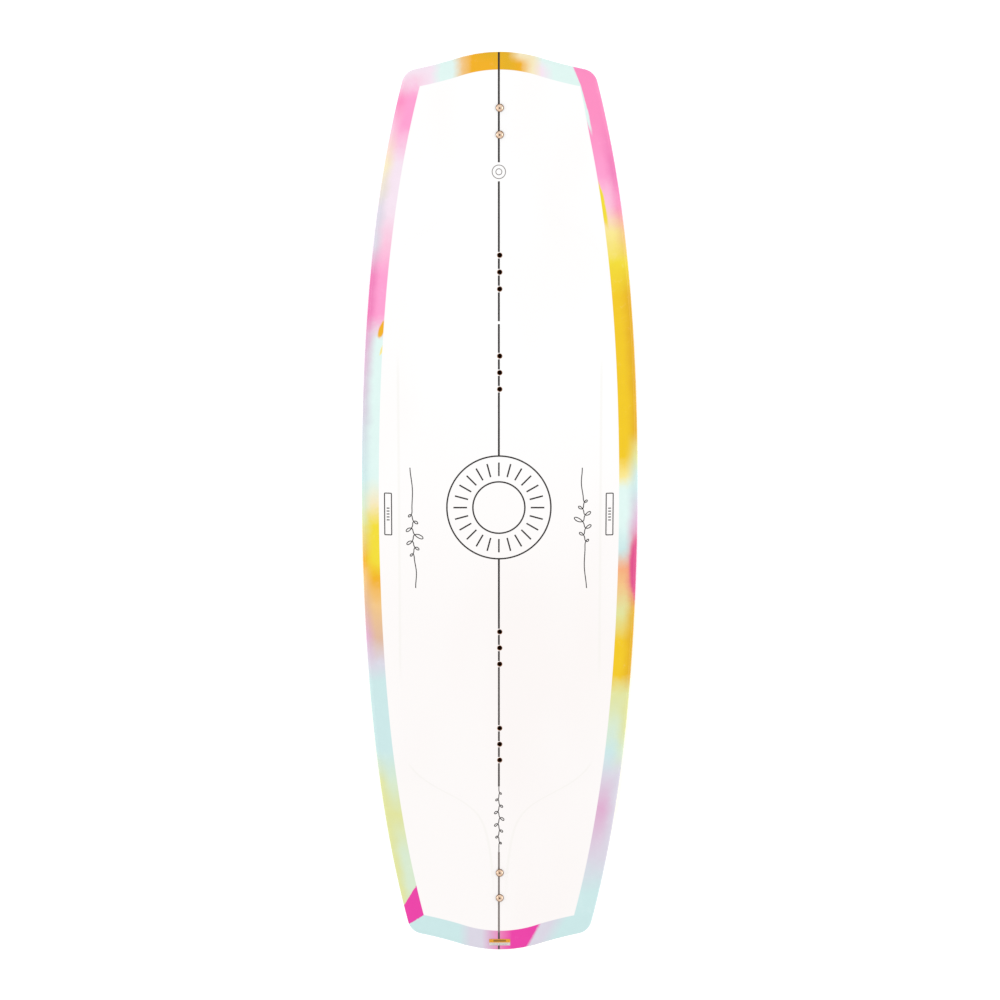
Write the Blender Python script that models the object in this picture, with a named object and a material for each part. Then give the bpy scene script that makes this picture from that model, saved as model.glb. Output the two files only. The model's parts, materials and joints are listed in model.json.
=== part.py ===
"""A twin-tip wakeboard, bare deck, lying on its base.

World frame, metres: +X is the width, +Y points to the tip, +Z is up out of the deck.
The origin is the middle of the flat spot of the base, on the surface the board lies on.

The board is a moulded sandwich. From the bottom up it has a base sheet, a glass laminate,
a foam core with two wooden stringers, a second glass laminate and a printed top sheet,
with a plastic rail all round the core. The foam is glued up from blocks. Between the
stringers it alternates with dense fibreboard that holds the twelve binding inserts and
the four fin screws.
"""

import math
from collections import namedtuple

import bmesh
import bpy
from mathutils import Matrix, Vector

# ---- plan shape -------------------------------------------------------------------
HALF_LENGTH = 0.690
HALF_WIDTH = 0.2133
SIDE_DROP_2 = 0.0556         # loss of half width at the ends: part that grows as y squared
SIDE_DROP_4 = 0.0262         # and the part that grows as the fourth power
NOSE_RADIUS = 0.215          # convex middle of each end
NOSE_REACH = 0.062           # half width of that convex middle
WING_RADIUS = 0.60           # hollow stretches beside it
BORDER = 0.0250              # printed band round the deck, between its inner line and the edge

# ---- profile ----------------------------------------------------------------------
ROCKER = 0.060               # rise of the base at both ends
FLAT_SPOT = 0.120            # half length of the flat middle of the base
MIDDLE_THICKNESS = 0.0235
END_THICKNESS = 0.0095
EDGE_THICKNESS_MIDDLE = 0.0130
EDGE_THICKNESS_LOSS = 0.0040
PAD_START = 0.160            # each binding pad is a flat stretch of the deck
PAD_END = 0.420
PAD_SLOPE = 0.040
PLATEAU_HALF_WIDTH = 0.155   # raised middle of the deck, up to a soft crease
SPINE_HALF_WIDTH = 0.010     # what is left of it under the fin screws
PLATEAU_END = 0.440          # distance along the board where the plateau narrows
PLATEAU_FADE = 0.018
CHANNEL_DEPTH = 0.0025       # two shallow channels under each end
CHANNEL_START = 0.400
CHANNEL_END = 0.640
CHANNEL_INNER, CHANNEL_MIDDLE, CHANNEL_OUTER = 0.30, 0.60, 0.82

# ---- layers -----------------------------------------------------------------------
GAP = 0.0003                 # between pieces that touch
BASE_SHEET = 0.0010
BASE_LAMINATE = 0.0010
DECK_LAMINATE = 0.0012
TOP_SHEET = 0.0008
SHOULDER = 0.0070            # rounded top edge of the board
EDGE_HEIGHT = 0.0050         # where the top sheet ends, above the base
BASE_INSET = 0.0030          # the base sheet stops short of the edge
RAIL_CHAMFER = 0.0015
RAIL_FOOT = 0.0020
RAIL_WIDTH = 0.0140
STRINGER_OFFSET = 0.0850     # inner face of each stringer from the centreline
STRINGER_WIDTH = 0.0070
SIDE_FOAM_JOINT = 0.2900     # where the foam outside the stringers is joined, along the board
FOAM_NAMES = ("end_tail", "bend_tail", "pad_tail", "waist", "pad_tip", "bend_tip", "end_tip")

# ---- hardware ---------------------------------------------------------------------
STANCE_OFFSET = 0.2905       # middle of each set of six inserts
INSERT_PITCH = 0.0254
GROUP_OFFSET = 0.0762        # middle of each row of three from the middle of the set
INSERT_RADIUS = 0.0044
INSERT_BORE = 0.00325
INSERT_LENGTH = 0.0125
INSERT_BORE_DEPTH = 0.0105
INSERT_HOLE = 0.0048
INSERT_BLOCK_MARGIN = 0.0160
FIN_OFFSET = 0.5900
FIN_SCREW_PITCH = 0.0390
FIN_BLOCK_MARGIN = 0.0180
FIN_LENGTH = 0.1200
FIN_DEPTH = 0.0250
FIN_HALF_THICKNESS = 0.0076
FIN_END_HALF_THICKNESS = 0.0012
FIN_END_DEPTH = 0.0016
FIN_RAKE = 1.6               # how soon the blade falls away towards its ends
FIN_SECTION = ((1.0, 0.0), (0.86, 0.42), (0.42, 0.90), (0.0, 1.0), (-0.42, 0.90),
               (-0.86, 0.42), (-1.0, 0.0))
SCREW_HEAD_RADIUS = 0.0060
SCREW_HEAD_HEIGHT = 0.0030
SCREW_RADIUS = 0.0028
SCREW_HOLE = 0.0034
SCREW_INTO_FIN = 0.0080
SCREW_SEAT = 0.0005          # the head stands this far off the deck, on its washer face
RECESS_HALF_WIDTH = 0.0006
RECESS_REACH = 0.0023
RECESS_DEPTH = 0.0019
NUT_RADIUS = 0.0040
NUT_BORE = 0.0032
NUT_LENGTH = 0.0088
NUT_POCKET = 0.0044
NUT_POCKET_DEPTH = 0.0100
LABEL_WIDTH = 0.0330
LABEL_START, LABEL_END = 0.6725, 0.6822
LABEL_THICKNESS = 0.0004

# ---- mesh stations ------------------------------------------------------------------
ALONG = (0.0, 0.18, 0.25, 0.4375, 0.625, 0.72, 0.81, 0.90, 1.0)
ACROSS = (0.0, 0.30, 0.60, 0.82, 1.0)
CORNER_STEPS = 4
SHOULDER_TURNS = (90.0, 60.0, 30.0, 0.0)
TURNED_SIDES = 16
HOLE_SIDES = 12
FIN_STEPS = 12

# ---- plastics, woods and metals: colour, roughness, metallic --------------------------
FINISHES = {
    "top_sheet": ((0.93, 0.92, 0.91), 0.22, 0.0),
    "rail": ((0.86, 0.62, 0.78), 0.35, 0.0),
    "base_sheet": ((0.86, 0.90, 0.88), 0.25, 0.0),
    "glass_laminate": ((0.70, 0.74, 0.62), 0.40, 0.0),
    "foam": ((0.85, 0.78, 0.58), 0.90, 0.0),
    "wood": ((0.60, 0.42, 0.24), 0.65, 0.0),
    "block": ((0.32, 0.27, 0.20), 0.70, 0.0),
    "brass": ((0.72, 0.45, 0.25), 0.30, 1.0),
    "screw": ((0.85, 0.62, 0.46), 0.22, 1.0),
    "fin": ((0.05, 0.05, 0.055), 0.45, 0.0),
    "label": ((0.85, 0.55, 0.10), 0.35, 0.0),
}

Station = namedtuple("Station", "x y nx ny row column")


# ---- outline ------------------------------------------------------------------------
def side_half_width(y):
    """Half width of the board at y, from its long side curves."""
    t = y / HALF_LENGTH
    return HALF_WIDTH - SIDE_DROP_2 * t ** 2 - SIDE_DROP_4 * t ** 4


def end_drop(x):
    """How far the end curve has fallen back from the very tip at x."""
    across = abs(x)
    if across <= NOSE_REACH:
        return NOSE_RADIUS - math.sqrt(NOSE_RADIUS ** 2 - across ** 2)
    slope = NOSE_REACH / math.sqrt(NOSE_RADIUS ** 2 - NOSE_REACH ** 2)
    past = across - NOSE_REACH
    return end_drop(NOSE_REACH) + slope * past - past ** 2 / (2 * WING_RADIUS)


def slope_of(curve, at):
    step = 1e-4
    return (curve(at + step) - curve(at - step)) / (2 * step)


def inner_side(y):
    """Side of the line that runs one border width inside the edge."""
    return side_half_width(y) - BORDER * math.hypot(1.0, slope_of(side_half_width, y))


def inner_end(x):
    """End of that same line."""
    return HALF_LENGTH - end_drop(x) - BORDER * math.hypot(1.0, slope_of(end_drop, x))


def inner_corner():
    """Where the inner side and the inner end meet."""
    y = HALF_LENGTH - BORDER
    for _ in range(40):
        x = inner_side(y)
        y = inner_end(x)
    return x, y


CORNER_X, CORNER_Y = inner_corner()


def plan_point(across, along):
    """Point inside the inner line, from -1 to 1 across and along the board."""
    return across * inner_side(along * CORNER_Y), along * inner_end(across * CORNER_X)


# ---- heights ------------------------------------------------------------------------
def rocker(y):
    rise = max(0.0, abs(y) - FLAT_SPOT) / (HALF_LENGTH - FLAT_SPOT)
    return ROCKER * rise ** 2


def channel(x, y):
    """Depth of the channels moulded into the base under both ends."""
    if not CHANNEL_START < abs(y) < CHANNEL_END:
        return 0.0
    along = (abs(y) - CHANNEL_START) / (CHANNEL_END - CHANNEL_START)
    across = abs(x) / inner_side(y)
    if across < CHANNEL_MIDDLE:
        side = (across - CHANNEL_INNER) / (CHANNEL_MIDDLE - CHANNEL_INNER)
    else:
        side = (CHANNEL_OUTER - across) / (CHANNEL_OUTER - CHANNEL_MIDDLE)
    if side <= 0.0:
        return 0.0
    return CHANNEL_DEPTH * math.sin(math.pi * along) ** 2 * side ** 2 * (3 - 2 * side)


def base_z(x, y):
    return rocker(y) + channel(x, y)


def ridge_z(y):
    """Height of the deck along the middle: level, a straight pad, then a rising curve."""
    far = abs(y)
    bend = PAD_START - FLAT_SPOT
    if far <= FLAT_SPOT:
        return MIDDLE_THICKNESS
    if far <= PAD_START:
        return MIDDLE_THICKNESS + PAD_SLOPE * (far - FLAT_SPOT) ** 2 / (2 * bend)
    pad_foot = MIDDLE_THICKNESS + PAD_SLOPE * bend / 2
    if far <= PAD_END:
        return pad_foot + PAD_SLOPE * (far - PAD_START)
    pad_head = pad_foot + PAD_SLOPE * (PAD_END - PAD_START)
    run = HALF_LENGTH - PAD_END
    past = far - PAD_END
    lift = ROCKER + END_THICKNESS - pad_head - PAD_SLOPE * run
    return pad_head + PAD_SLOPE * past + lift * (past / run) ** 2


def plateau_half_width(y):
    fade = 1.0 / (1.0 + math.exp((abs(y) - PLATEAU_END) / PLATEAU_FADE))
    return SPINE_HALF_WIDTH + (PLATEAU_HALF_WIDTH - SPINE_HALF_WIDTH) * fade


def deck_z(x, y):
    """Deck height: the plateau, and the bevel that falls from it to the shoulder."""
    middle = ridge_z(y) - rocker(y)
    edge = EDGE_THICKNESS_MIDDLE - EDGE_THICKNESS_LOSS * (y / HALF_LENGTH) ** 2
    crease = plateau_half_width(y)
    bevel = (abs(x) - crease) / (side_half_width(y) - SHOULDER - crease)
    bevel = min(1.0, max(0.0, bevel))
    return rocker(y) + middle + (edge - middle) * bevel


# ---- meshes in plan -------------------------------------------------------------------
def mirrored(stations):
    return [-value for value in reversed(stations[1:])] + list(stations)


COLUMNS = mirrored(ACROSS)
ROWS = mirrored(ALONG)


def rim_stations():
    """Stations round the inner line, anticlockwise from the tail's right corner.

    A corner of the line carries several stations that share its point and fan out.
    """
    right = []
    for row, along in enumerate(ROWS):
        y = along * CORNER_Y
        normal = Vector((1.0, -slope_of(inner_side, y))).normalized()
        right.append(Station(inner_side(y), y, normal.x, normal.y, row, len(COLUMNS) - 1))
    tip = []
    for column, across in reversed(list(enumerate(COLUMNS))):
        x = across * CORNER_X
        normal = Vector((-slope_of(inner_end, x), 1.0)).normalized()
        tip.append(Station(x, inner_end(x), normal.x, normal.y, len(ROWS) - 1, column))
    half = right + corner_fan(right[-1], tip[0]) + tip
    half += corner_fan(tip[-1], turned_about(right[0]))
    return half + [turned_about(station) for station in half]


def turned_about(station):
    """The same station on the opposite side of the board."""
    return Station(-station.x, -station.y, -station.nx, -station.ny,
                   len(ROWS) - 1 - station.row, len(COLUMNS) - 1 - station.column)


def corner_fan(first, last):
    start = math.atan2(first.ny, first.nx)
    turn = (math.atan2(last.ny, last.nx) - start) % (2 * math.pi)
    fan = []
    for step in range(1, CORNER_STEPS):
        angle = start + turn * step / CORNER_STEPS
        fan.append(first._replace(nx=math.cos(angle), ny=math.sin(angle)))
    return fan


RIM = rim_stations()
SHOULDER_LINE = BORDER - SHOULDER
CORE_LINE = BORDER - RAIL_WIDTH - GAP


def moved_out(station, reach):
    return station.x + reach * station.nx, station.y + reach * station.ny


def level_loop(reach, height):
    """A loop of points one reach outside the inner line, at height(x, y)."""
    points = []
    for station in RIM:
        x, y = moved_out(station, reach)
        points.append((x, y, height(x, y)))
    return points


def shoulder_loop(turn_degrees, skin):
    """A loop on the rounded shoulder, skin metres under its outside."""
    turn = math.radians(turn_degrees)
    reach = SHOULDER_LINE + (SHOULDER - skin) * math.cos(turn)
    points = []
    for station in RIM:
        x, y = moved_out(station, reach)
        x_line, y_line = moved_out(station, SHOULDER_LINE)
        rise = deck_z(x_line, y_line) - rocker(y_line) - EDGE_HEIGHT - skin
        points.append((x, y, rocker(y) + EDGE_HEIGHT + rise * math.sin(turn)))
    return points


def above(surface, distance):
    return lambda x, y: surface(x, y) + distance


def join_loops(mesh, first, second):
    """Triangles between two loops of vertices, some of which may be shared.

    Seen in plan, the diagonals run the same way whether the loops go in or out, so that
    layers whose faces lie close together are cut into the same triangles.
    """
    inward = second[0].co.xy.length < first[0].co.xy.length
    for index in range(len(first)):
        after = (index + 1) % len(first)
        near, far = first[index], second[index]
        near_after, far_after = first[after], second[after]
        if inward:
            halves = (near, far, near_after), (far, far_after, near_after)
        else:
            halves = (near, far, far_after), (near, far_after, near_after)
        for half in halves:
            if len(set(half)) == 3:
                mesh.faces.new(half)


def add_grid(mesh, surface, facing_up):
    """The grid inside the inner line; returns its vertices in the order of RIM."""
    grid = []
    for along in ROWS:
        row = []
        for across in COLUMNS:
            x, y = plan_point(across, along)
            row.append(mesh.verts.new((x, y, surface(x, y))))
        grid.append(row)
    for row in range(len(ROWS) - 1):
        for column in range(len(COLUMNS) - 1):
            near, right = grid[row][column], grid[row][column + 1]
            far, opposite = grid[row + 1][column], grid[row + 1][column + 1]
            same_sign = (row < len(ALONG) - 1) == (column < len(ACROSS) - 1)
            if same_sign:
                halves = (near, right, opposite), (near, opposite, far)
            else:
                halves = (near, right, far), (right, opposite, far)
            for half in halves:
                mesh.faces.new(half if facing_up else reversed(half))
    return [grid[station.row][station.column] for station in RIM]


def sheet_mesh(name, top, bottom, loops):
    """A sheet over the whole plan: top grid, loops round its edge, bottom grid."""
    mesh = bmesh.new()
    rings = [add_grid(mesh, top, True)]
    for loop in loops:
        rings.append([mesh.verts.new(point) for point in loop])
    rings.append(add_grid(mesh, bottom, False))
    for inner, outer in zip(rings, rings[1:]):
        join_loops(mesh, inner, outer)
    return finished_mesh(mesh, name)


def ring_mesh(name, loops):
    """A closed section carried once round the board."""
    mesh = bmesh.new()
    rings = [[mesh.verts.new(point) for point in loop] for loop in loops]
    for index, ring in enumerate(rings):
        join_loops(mesh, ring, rings[(index + 1) % len(rings)])
    return finished_mesh(mesh, name)


def finished_mesh(mesh, name, sharp_degrees=35.0):
    data = bpy.data.meshes.new(name)
    mesh.to_mesh(data)
    mesh.free()
    data.shade_smooth()
    data.set_sharp_from_angle(angle=math.radians(sharp_degrees))
    return data


# ---- turned pieces ----------------------------------------------------------------------
def turned_mesh(name, profile, sides=TURNED_SIDES):
    """Turns a profile of (radius, height) points about the Z axis.

    The profile starts and ends on the axis, or closes on itself round a bore.
    It runs up the bore side first and comes down the outer side. No corner of the
    polygon lies on the board's centreline, where the sheets have an edge.
    """
    mesh = bmesh.new()
    rings = []
    for radius, height in profile:
        if radius == 0.0:
            rings.append([mesh.verts.new((0.0, 0.0, height))] * sides)
            continue
        ring = []
        for step in range(sides):
            angle = 2 * math.pi * (step + 0.5) / sides
            point = (radius * math.cos(angle), radius * math.sin(angle), height)
            ring.append(mesh.verts.new(point))
        rings.append(ring)
    if profile[0][0] > 0.0:
        rings.append(rings[0])
    for inner, outer in zip(rings, rings[1:]):
        join_loops(mesh, inner, outer)
    return finished_mesh(mesh, name)


def rod_profile(radius, low, high):
    return [(0.0, high), (radius, high), (radius, low), (0.0, low)]


# ---- objects ------------------------------------------------------------------------------
def clear_scene():
    for old in list(bpy.data.objects):
        bpy.data.objects.remove(old, do_unlink=True)


def finish_material(name):
    made = bpy.data.materials.get(name)
    if made is None:
        colour, roughness, metallic = FINISHES[name]
        made = bpy.data.materials.new(name)
        made.use_nodes = True
        shader = made.node_tree.nodes["Principled BSDF"]
        shader.inputs["Base Color"].default_value = (*colour, 1.0)
        shader.inputs["Roughness"].default_value = roughness
        shader.inputs["Metallic"].default_value = metallic
    return made


def add_piece(name, data, finish, placement=None):
    piece = bpy.data.objects.new(name, data)
    bpy.context.collection.objects.link(piece)
    if not data.materials:
        data.materials.append(finish_material(finish))
    if placement is not None:
        piece.matrix_world = placement
    return piece


def cutter(name, data, placement=None):
    tool = bpy.data.objects.new(name, data)
    bpy.context.collection.objects.link(tool)
    tool.hide_render = True
    tool.display_type = "WIRE"
    if placement is not None:
        tool.matrix_world = placement
    return tool


def box_cutter(name, low, high):
    mesh = bmesh.new()
    bmesh.ops.create_cube(mesh, size=1.0)
    for vertex in mesh.verts:
        for axis in range(3):
            vertex.co[axis] = high[axis] if vertex.co[axis] > 0.0 else low[axis]
    return cutter(name, finished_mesh(mesh, name))


def use_cutter(piece, tool, operation):
    modifier = piece.modifiers.new(operation.lower() + "_" + tool.name, "BOOLEAN")
    modifier.operation = operation
    modifier.solver = "EXACT"
    modifier.object = tool


def on_deck(y, lift=0.0):
    """Placement on the centreline of the deck, square to it, lift metres up its normal."""
    slope = slope_of(ridge_z, y)
    turned = Matrix.Rotation(math.atan(slope), 4, "X")
    seat = Matrix.Translation((0.0, y, ridge_z(y)))
    return seat @ turned @ Matrix.Translation((0.0, 0.0, lift))


# ---- where the hardware goes -------------------------------------------------------------
def insert_rows():
    """(name, middle) of the four rows of three inserts, from tip to tail."""
    return [
        ("tip_outer", STANCE_OFFSET + GROUP_OFFSET),
        ("tip_inner", STANCE_OFFSET - GROUP_OFFSET),
        ("tail_inner", GROUP_OFFSET - STANCE_OFFSET),
        ("tail_outer", -GROUP_OFFSET - STANCE_OFFSET),
    ]


def insert_places():
    places = []
    for row, middle in insert_rows():
        for step in (1, 0, -1):
            places.append((f"insert_{row}_{2 - step}", middle + step * INSERT_PITCH))
    return places


def fin_screw_places():
    places = []
    for end, sign in (("tip", 1.0), ("tail", -1.0)):
        for label, side in (("outer", 0.5), ("inner", -0.5)):
            places.append((f"{end}_{label}", sign * (FIN_OFFSET + side * FIN_SCREW_PITCH)))
    return places


# ---- the sandwich ---------------------------------------------------------------------------
def make_sheets():
    """Base sheet, the two laminates and the top sheet; returns them in a dictionary."""
    base_line = BORDER - BASE_INSET
    inside_base = BASE_SHEET + GAP
    under_deck = -(TOP_SHEET + GAP)
    sheets = {}

    sheet_top = above(base_z, BASE_SHEET)
    sheets["base_sheet"] = add_piece("base_sheet", sheet_mesh(
        "base_sheet", sheet_top, base_z,
        [level_loop(reach, sheet_top) for reach in (CORE_LINE, base_line)]
        + [level_loop(base_line, base_z)],
    ), "base_sheet")

    laminate_top = above(base_z, inside_base + BASE_LAMINATE)
    laminate_bottom = above(base_z, inside_base)
    sheets["base_laminate"] = add_piece("base_laminate", sheet_mesh(
        "base_laminate", laminate_top, laminate_bottom,
        [level_loop(CORE_LINE, laminate_top), level_loop(CORE_LINE, laminate_bottom)],
    ), "glass_laminate")

    laminate_top = above(deck_z, under_deck)
    laminate_bottom = above(deck_z, under_deck - DECK_LAMINATE)
    sheets["deck_laminate"] = add_piece("deck_laminate", sheet_mesh(
        "deck_laminate", laminate_top, laminate_bottom,
        [level_loop(CORE_LINE, laminate_top), level_loop(CORE_LINE, laminate_bottom)],
    ), "glass_laminate")

    outside = [shoulder_loop(turn, 0.0) for turn in SHOULDER_TURNS]
    inside = [shoulder_loop(turn, TOP_SHEET) for turn in reversed(SHOULDER_TURNS)]
    sheet_bottom = above(deck_z, -TOP_SHEET)
    sheets["top_sheet"] = add_piece("top_sheet", sheet_mesh(
        "top_sheet", deck_z, sheet_bottom,
        outside + inside + [level_loop(CORE_LINE, sheet_bottom)],
    ), "top_sheet")
    return sheets


def make_rail():
    """The rail: a step for the base sheet below, a rebate for the top sheet above."""
    inner = BORDER - RAIL_WIDTH
    step = BORDER - BASE_INSET + GAP
    skin = TOP_SHEET + GAP
    seat = BASE_SHEET + GAP
    rim = EDGE_HEIGHT - GAP
    loops = [
        level_loop(inner, above(base_z, seat)),
        level_loop(inner, above(deck_z, -skin)),
    ]
    loops += [shoulder_loop(turn, skin) for turn in SHOULDER_TURNS]
    loops += [
        level_loop(BORDER - skin, above(rocker_only, rim)),
        level_loop(BORDER, above(rocker_only, rim)),
        level_loop(BORDER, above(rocker_only, RAIL_FOOT)),
        level_loop(BORDER - RAIL_CHAMFER, above(rocker_only, GAP)),
        level_loop(step, rocker_only),
        level_loop(step, above(rocker_only, seat)),
    ]
    return add_piece("rail", ring_mesh("rail", loops), "rail")


def rocker_only(_x, y):
    return rocker(y)


def core_blank():
    """The full shape of the core, which every core piece is cut from."""
    top = above(deck_z, -(TOP_SHEET + DECK_LAMINATE + 2 * GAP + GAP))
    bottom = above(base_z, BASE_SHEET + BASE_LAMINATE + 2 * GAP + GAP)
    loops = [level_loop(CORE_LINE, top), level_loop(CORE_LINE, bottom)]
    return sheet_mesh("core_blank", top, bottom, loops)


def block_spans():
    """(name, low y, high y) of the dense blocks, from tail to tip."""
    reach = INSERT_PITCH + INSERT_BLOCK_MARGIN
    spans = []
    for row, middle in insert_rows():
        spans.append((f"insert_block_{row}", middle - reach, middle + reach))
    reach = FIN_SCREW_PITCH / 2 + FIN_BLOCK_MARGIN
    spans.append(("fin_block_tip", FIN_OFFSET - reach, FIN_OFFSET + reach))
    spans.append(("fin_block_tail", -FIN_OFFSET - reach, -FIN_OFFSET + reach))
    return sorted(spans, key=lambda span: span[1])


def core_pieces():
    """(name, finish, low corner, high corner) of every piece of the core, in plan."""
    far = 2 * HALF_LENGTH
    inner = STRINGER_OFFSET
    outer = STRINGER_OFFSET + STRINGER_WIDTH
    pieces = [
        ("stringer_left", "wood", (-outer, -far), (-inner, far)),
        ("stringer_right", "wood", (inner, -far), (outer, far)),
    ]
    joint = SIDE_FOAM_JOINT
    for side, left, right in (("left", -far, -outer - GAP), ("right", outer + GAP, far)):
        for end, low, high in (("tail", -far, -joint), ("waist", -joint + GAP, joint - GAP),
                               ("tip", joint, far)):
            pieces.append((f"core_{side}_{end}", "foam", (left, low), (right, high)))
    half = inner - GAP
    start = -far
    for foam, (block, low, high) in zip(FOAM_NAMES, block_spans()):
        pieces.append(("core_" + foam, "foam", (-half, start), (half, low - GAP)))
        pieces.append((block, "block", (-half, low), (half, high)))
        start = high + GAP
    pieces.append(("core_" + FOAM_NAMES[-1], "foam", (-half, start), (half, far)))
    return pieces


def make_core(hole_cutters):
    """Foam, stringers and dense blocks, each cut from the same blank."""
    tall = 2 * ROCKER
    for name, finish, low, high in core_pieces():
        piece = add_piece(name, core_blank(), finish)
        use_cutter(piece, box_cutter("cut_" + name, (*low, -tall), (*high, tall)), "INTERSECT")
        if finish != "block":
            continue
        for y, tool in hole_cutters:
            if low[1] < y < high[1]:
                use_cutter(piece, tool, "DIFFERENCE")


# ---- hardware ---------------------------------------------------------------------------------
def hole_tools():
    """Cutters for the insert pockets and for the fin screws, as (y, object) pairs."""
    pocket = turned_mesh("insert_hole", rod_profile(
        INSERT_HOLE, -INSERT_LENGTH - GAP, MIDDLE_THICKNESS), HOLE_SIDES)
    through = turned_mesh("screw_hole", rod_profile(
        SCREW_HOLE, -2 * MIDDLE_THICKNESS, MIDDLE_THICKNESS), HOLE_SIDES)
    insert_tools = []
    for name, y in insert_places():
        insert_tools.append((y, cutter("hole_" + name, pocket, on_deck(y))))
    screw_tools = []
    for name, y in fin_screw_places():
        screw_tools.append((y, cutter("hole_fin_" + name, through, on_deck(y))))
    return insert_tools, screw_tools


def make_inserts():
    """Twelve blind brass inserts, flush with the deck and square to it."""
    profile = [
        (0.0, -INSERT_BORE_DEPTH),
        (INSERT_BORE, -INSERT_BORE_DEPTH),
        (INSERT_BORE, 0.0),
        (INSERT_RADIUS, 0.0),
        (INSERT_RADIUS, -INSERT_LENGTH),
        (0.0, -INSERT_LENGTH),
    ]
    data = turned_mesh("threaded_insert", profile)
    for name, y in insert_places():
        add_piece(name, data, "brass", on_deck(y))


def board_depth(y):
    """Thickness of the board on the centreline, measured square to the deck."""
    return (ridge_z(y) - rocker(y)) * math.cos(math.atan(slope_of(ridge_z, y)))


def screw_mesh(reach):
    """A pan-head screw whose head rests at z = 0 and whose end is reach below it."""
    head = [(0.0, SCREW_HEAD_HEIGHT)]
    for degrees in (65.0, 35.0, 8.0):
        turn = math.radians(degrees)
        head.append((SCREW_HEAD_RADIUS * math.cos(turn), SCREW_HEAD_HEIGHT * math.sin(turn)))
    shank = [(SCREW_HEAD_RADIUS, 0.0), (SCREW_RADIUS, 0.0), (SCREW_RADIUS, -reach), (0.0, -reach)]
    return turned_mesh("fin_screw", head + shank)


def make_fin_screws():
    """Four screws through the board, each with a cross recess in its head."""
    floor = SCREW_HEAD_HEIGHT - RECESS_DEPTH
    top = 2 * SCREW_HEAD_HEIGHT
    arms = (("a", RECESS_HALF_WIDTH, RECESS_REACH), ("b", RECESS_REACH, RECESS_HALF_WIDTH))
    for name, y in fin_screw_places():
        seat = on_deck(y, SCREW_SEAT)
        reach = board_depth(y) + SCREW_INTO_FIN
        screw = add_piece("fin_screw_" + name, screw_mesh(reach), "screw", seat)
        for arm, half_x, half_y in arms:
            tool = box_cutter(f"recess_{name}_{arm}", (-half_x, -half_y, floor),
                              (half_x, half_y, top))
            tool.matrix_world = seat
            use_cutter(screw, tool, "DIFFERENCE")


def fin_section(share, y):
    """One upright section of a fin at y, share of its length from its inner end."""
    fullness = math.sqrt(max(0.0, 4 * share * (1 - share)))
    end_half = FIN_END_HALF_THICKNESS
    half = end_half + (FIN_HALF_THICKNESS - end_half) * fullness
    depth = FIN_END_DEPTH + (FIN_DEPTH - FIN_END_DEPTH) * fullness ** FIN_RAKE
    top = rocker(y) - GAP
    section = []
    for across, down in FIN_SECTION:
        section.append((half * across, y, top - depth * down))
    return section


def fin_mesh(sign):
    mesh = bmesh.new()
    rings = []
    for step in range(FIN_STEPS + 1):
        share = 0.5 - 0.5 * math.cos(math.pi * step / FIN_STEPS)
        y = sign * FIN_OFFSET + FIN_LENGTH * (share - 0.5)
        rings.append([mesh.verts.new(point) for point in fin_section(share, y)])
    for first, second in zip(rings, rings[1:]):
        join_loops(mesh, first, second)
    mesh.faces.new(rings[0])
    mesh.faces.new(reversed(rings[-1]))
    bmesh.ops.recalc_face_normals(mesh, faces=mesh.faces)
    return finished_mesh(mesh, "centre_fin")


def make_fins():
    """A centre fin under each end, with two threaded bushes let into its root."""
    bush = turned_mesh("fin_nut", [
        (NUT_BORE, -NUT_LENGTH), (NUT_BORE, 0.0), (NUT_RADIUS, 0.0), (NUT_RADIUS, -NUT_LENGTH),
    ])
    pocket = turned_mesh("nut_pocket", rod_profile(NUT_POCKET, -NUT_POCKET_DEPTH, NUT_LENGTH))
    for end, sign in (("tip", 1.0), ("tail", -1.0)):
        fin = add_piece("fin_" + end, fin_mesh(sign), "fin")
        for name, y in fin_screw_places():
            if y * sign < 0.0:
                continue
            depth = board_depth(y)
            use_cutter(fin, cutter("pocket_" + name, pocket, on_deck(y, -depth)), "DIFFERENCE")
            add_piece("fin_nut_" + name, bush, "brass", on_deck(y, -depth - 3 * GAP))


def make_label():
    """A plain label on the border at the tail, following the curve of the deck."""
    mesh = bmesh.new()
    rings = []
    for across in (-0.5, -0.25, 0.0, 0.25, 0.5):
        ring = []
        for y, lift in ((-LABEL_END, GAP), (-LABEL_START, GAP),
                        (-LABEL_START, GAP + LABEL_THICKNESS), (-LABEL_END, GAP + LABEL_THICKNESS)):
            x = across * LABEL_WIDTH
            ring.append(mesh.verts.new((x, y, deck_z(x, y) + lift)))
        rings.append(ring)
    for first, second in zip(rings, rings[1:]):
        join_loops(mesh, first, second)
    mesh.faces.new(rings[0])
    mesh.faces.new(reversed(rings[-1]))
    bmesh.ops.recalc_face_normals(mesh, faces=mesh.faces)
    return add_piece("tail_label", finished_mesh(mesh, "tail_label"), "label")


def build():
    clear_scene()
    insert_tools, screw_tools = hole_tools()
    sheets = make_sheets()
    for name in ("top_sheet", "deck_laminate"):
        for _, tool in insert_tools + screw_tools:
            use_cutter(sheets[name], tool, "DIFFERENCE")
    for name in ("base_sheet", "base_laminate"):
        for _, tool in screw_tools:
            use_cutter(sheets[name], tool, "DIFFERENCE")
    make_rail()
    make_core(insert_tools + screw_tools)
    make_inserts()
    make_fin_screws()
    make_fins()
    make_label()


build()
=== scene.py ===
"""Looks of a twin-tip wakeboard lying on its base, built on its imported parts.

World frame, metres: +X is the width, +Y points to the tip, +Z is up out of the deck.
"""

import json
import math
from collections import namedtuple

import bmesh
import bpy
from mathutils import Matrix, Vector


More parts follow.
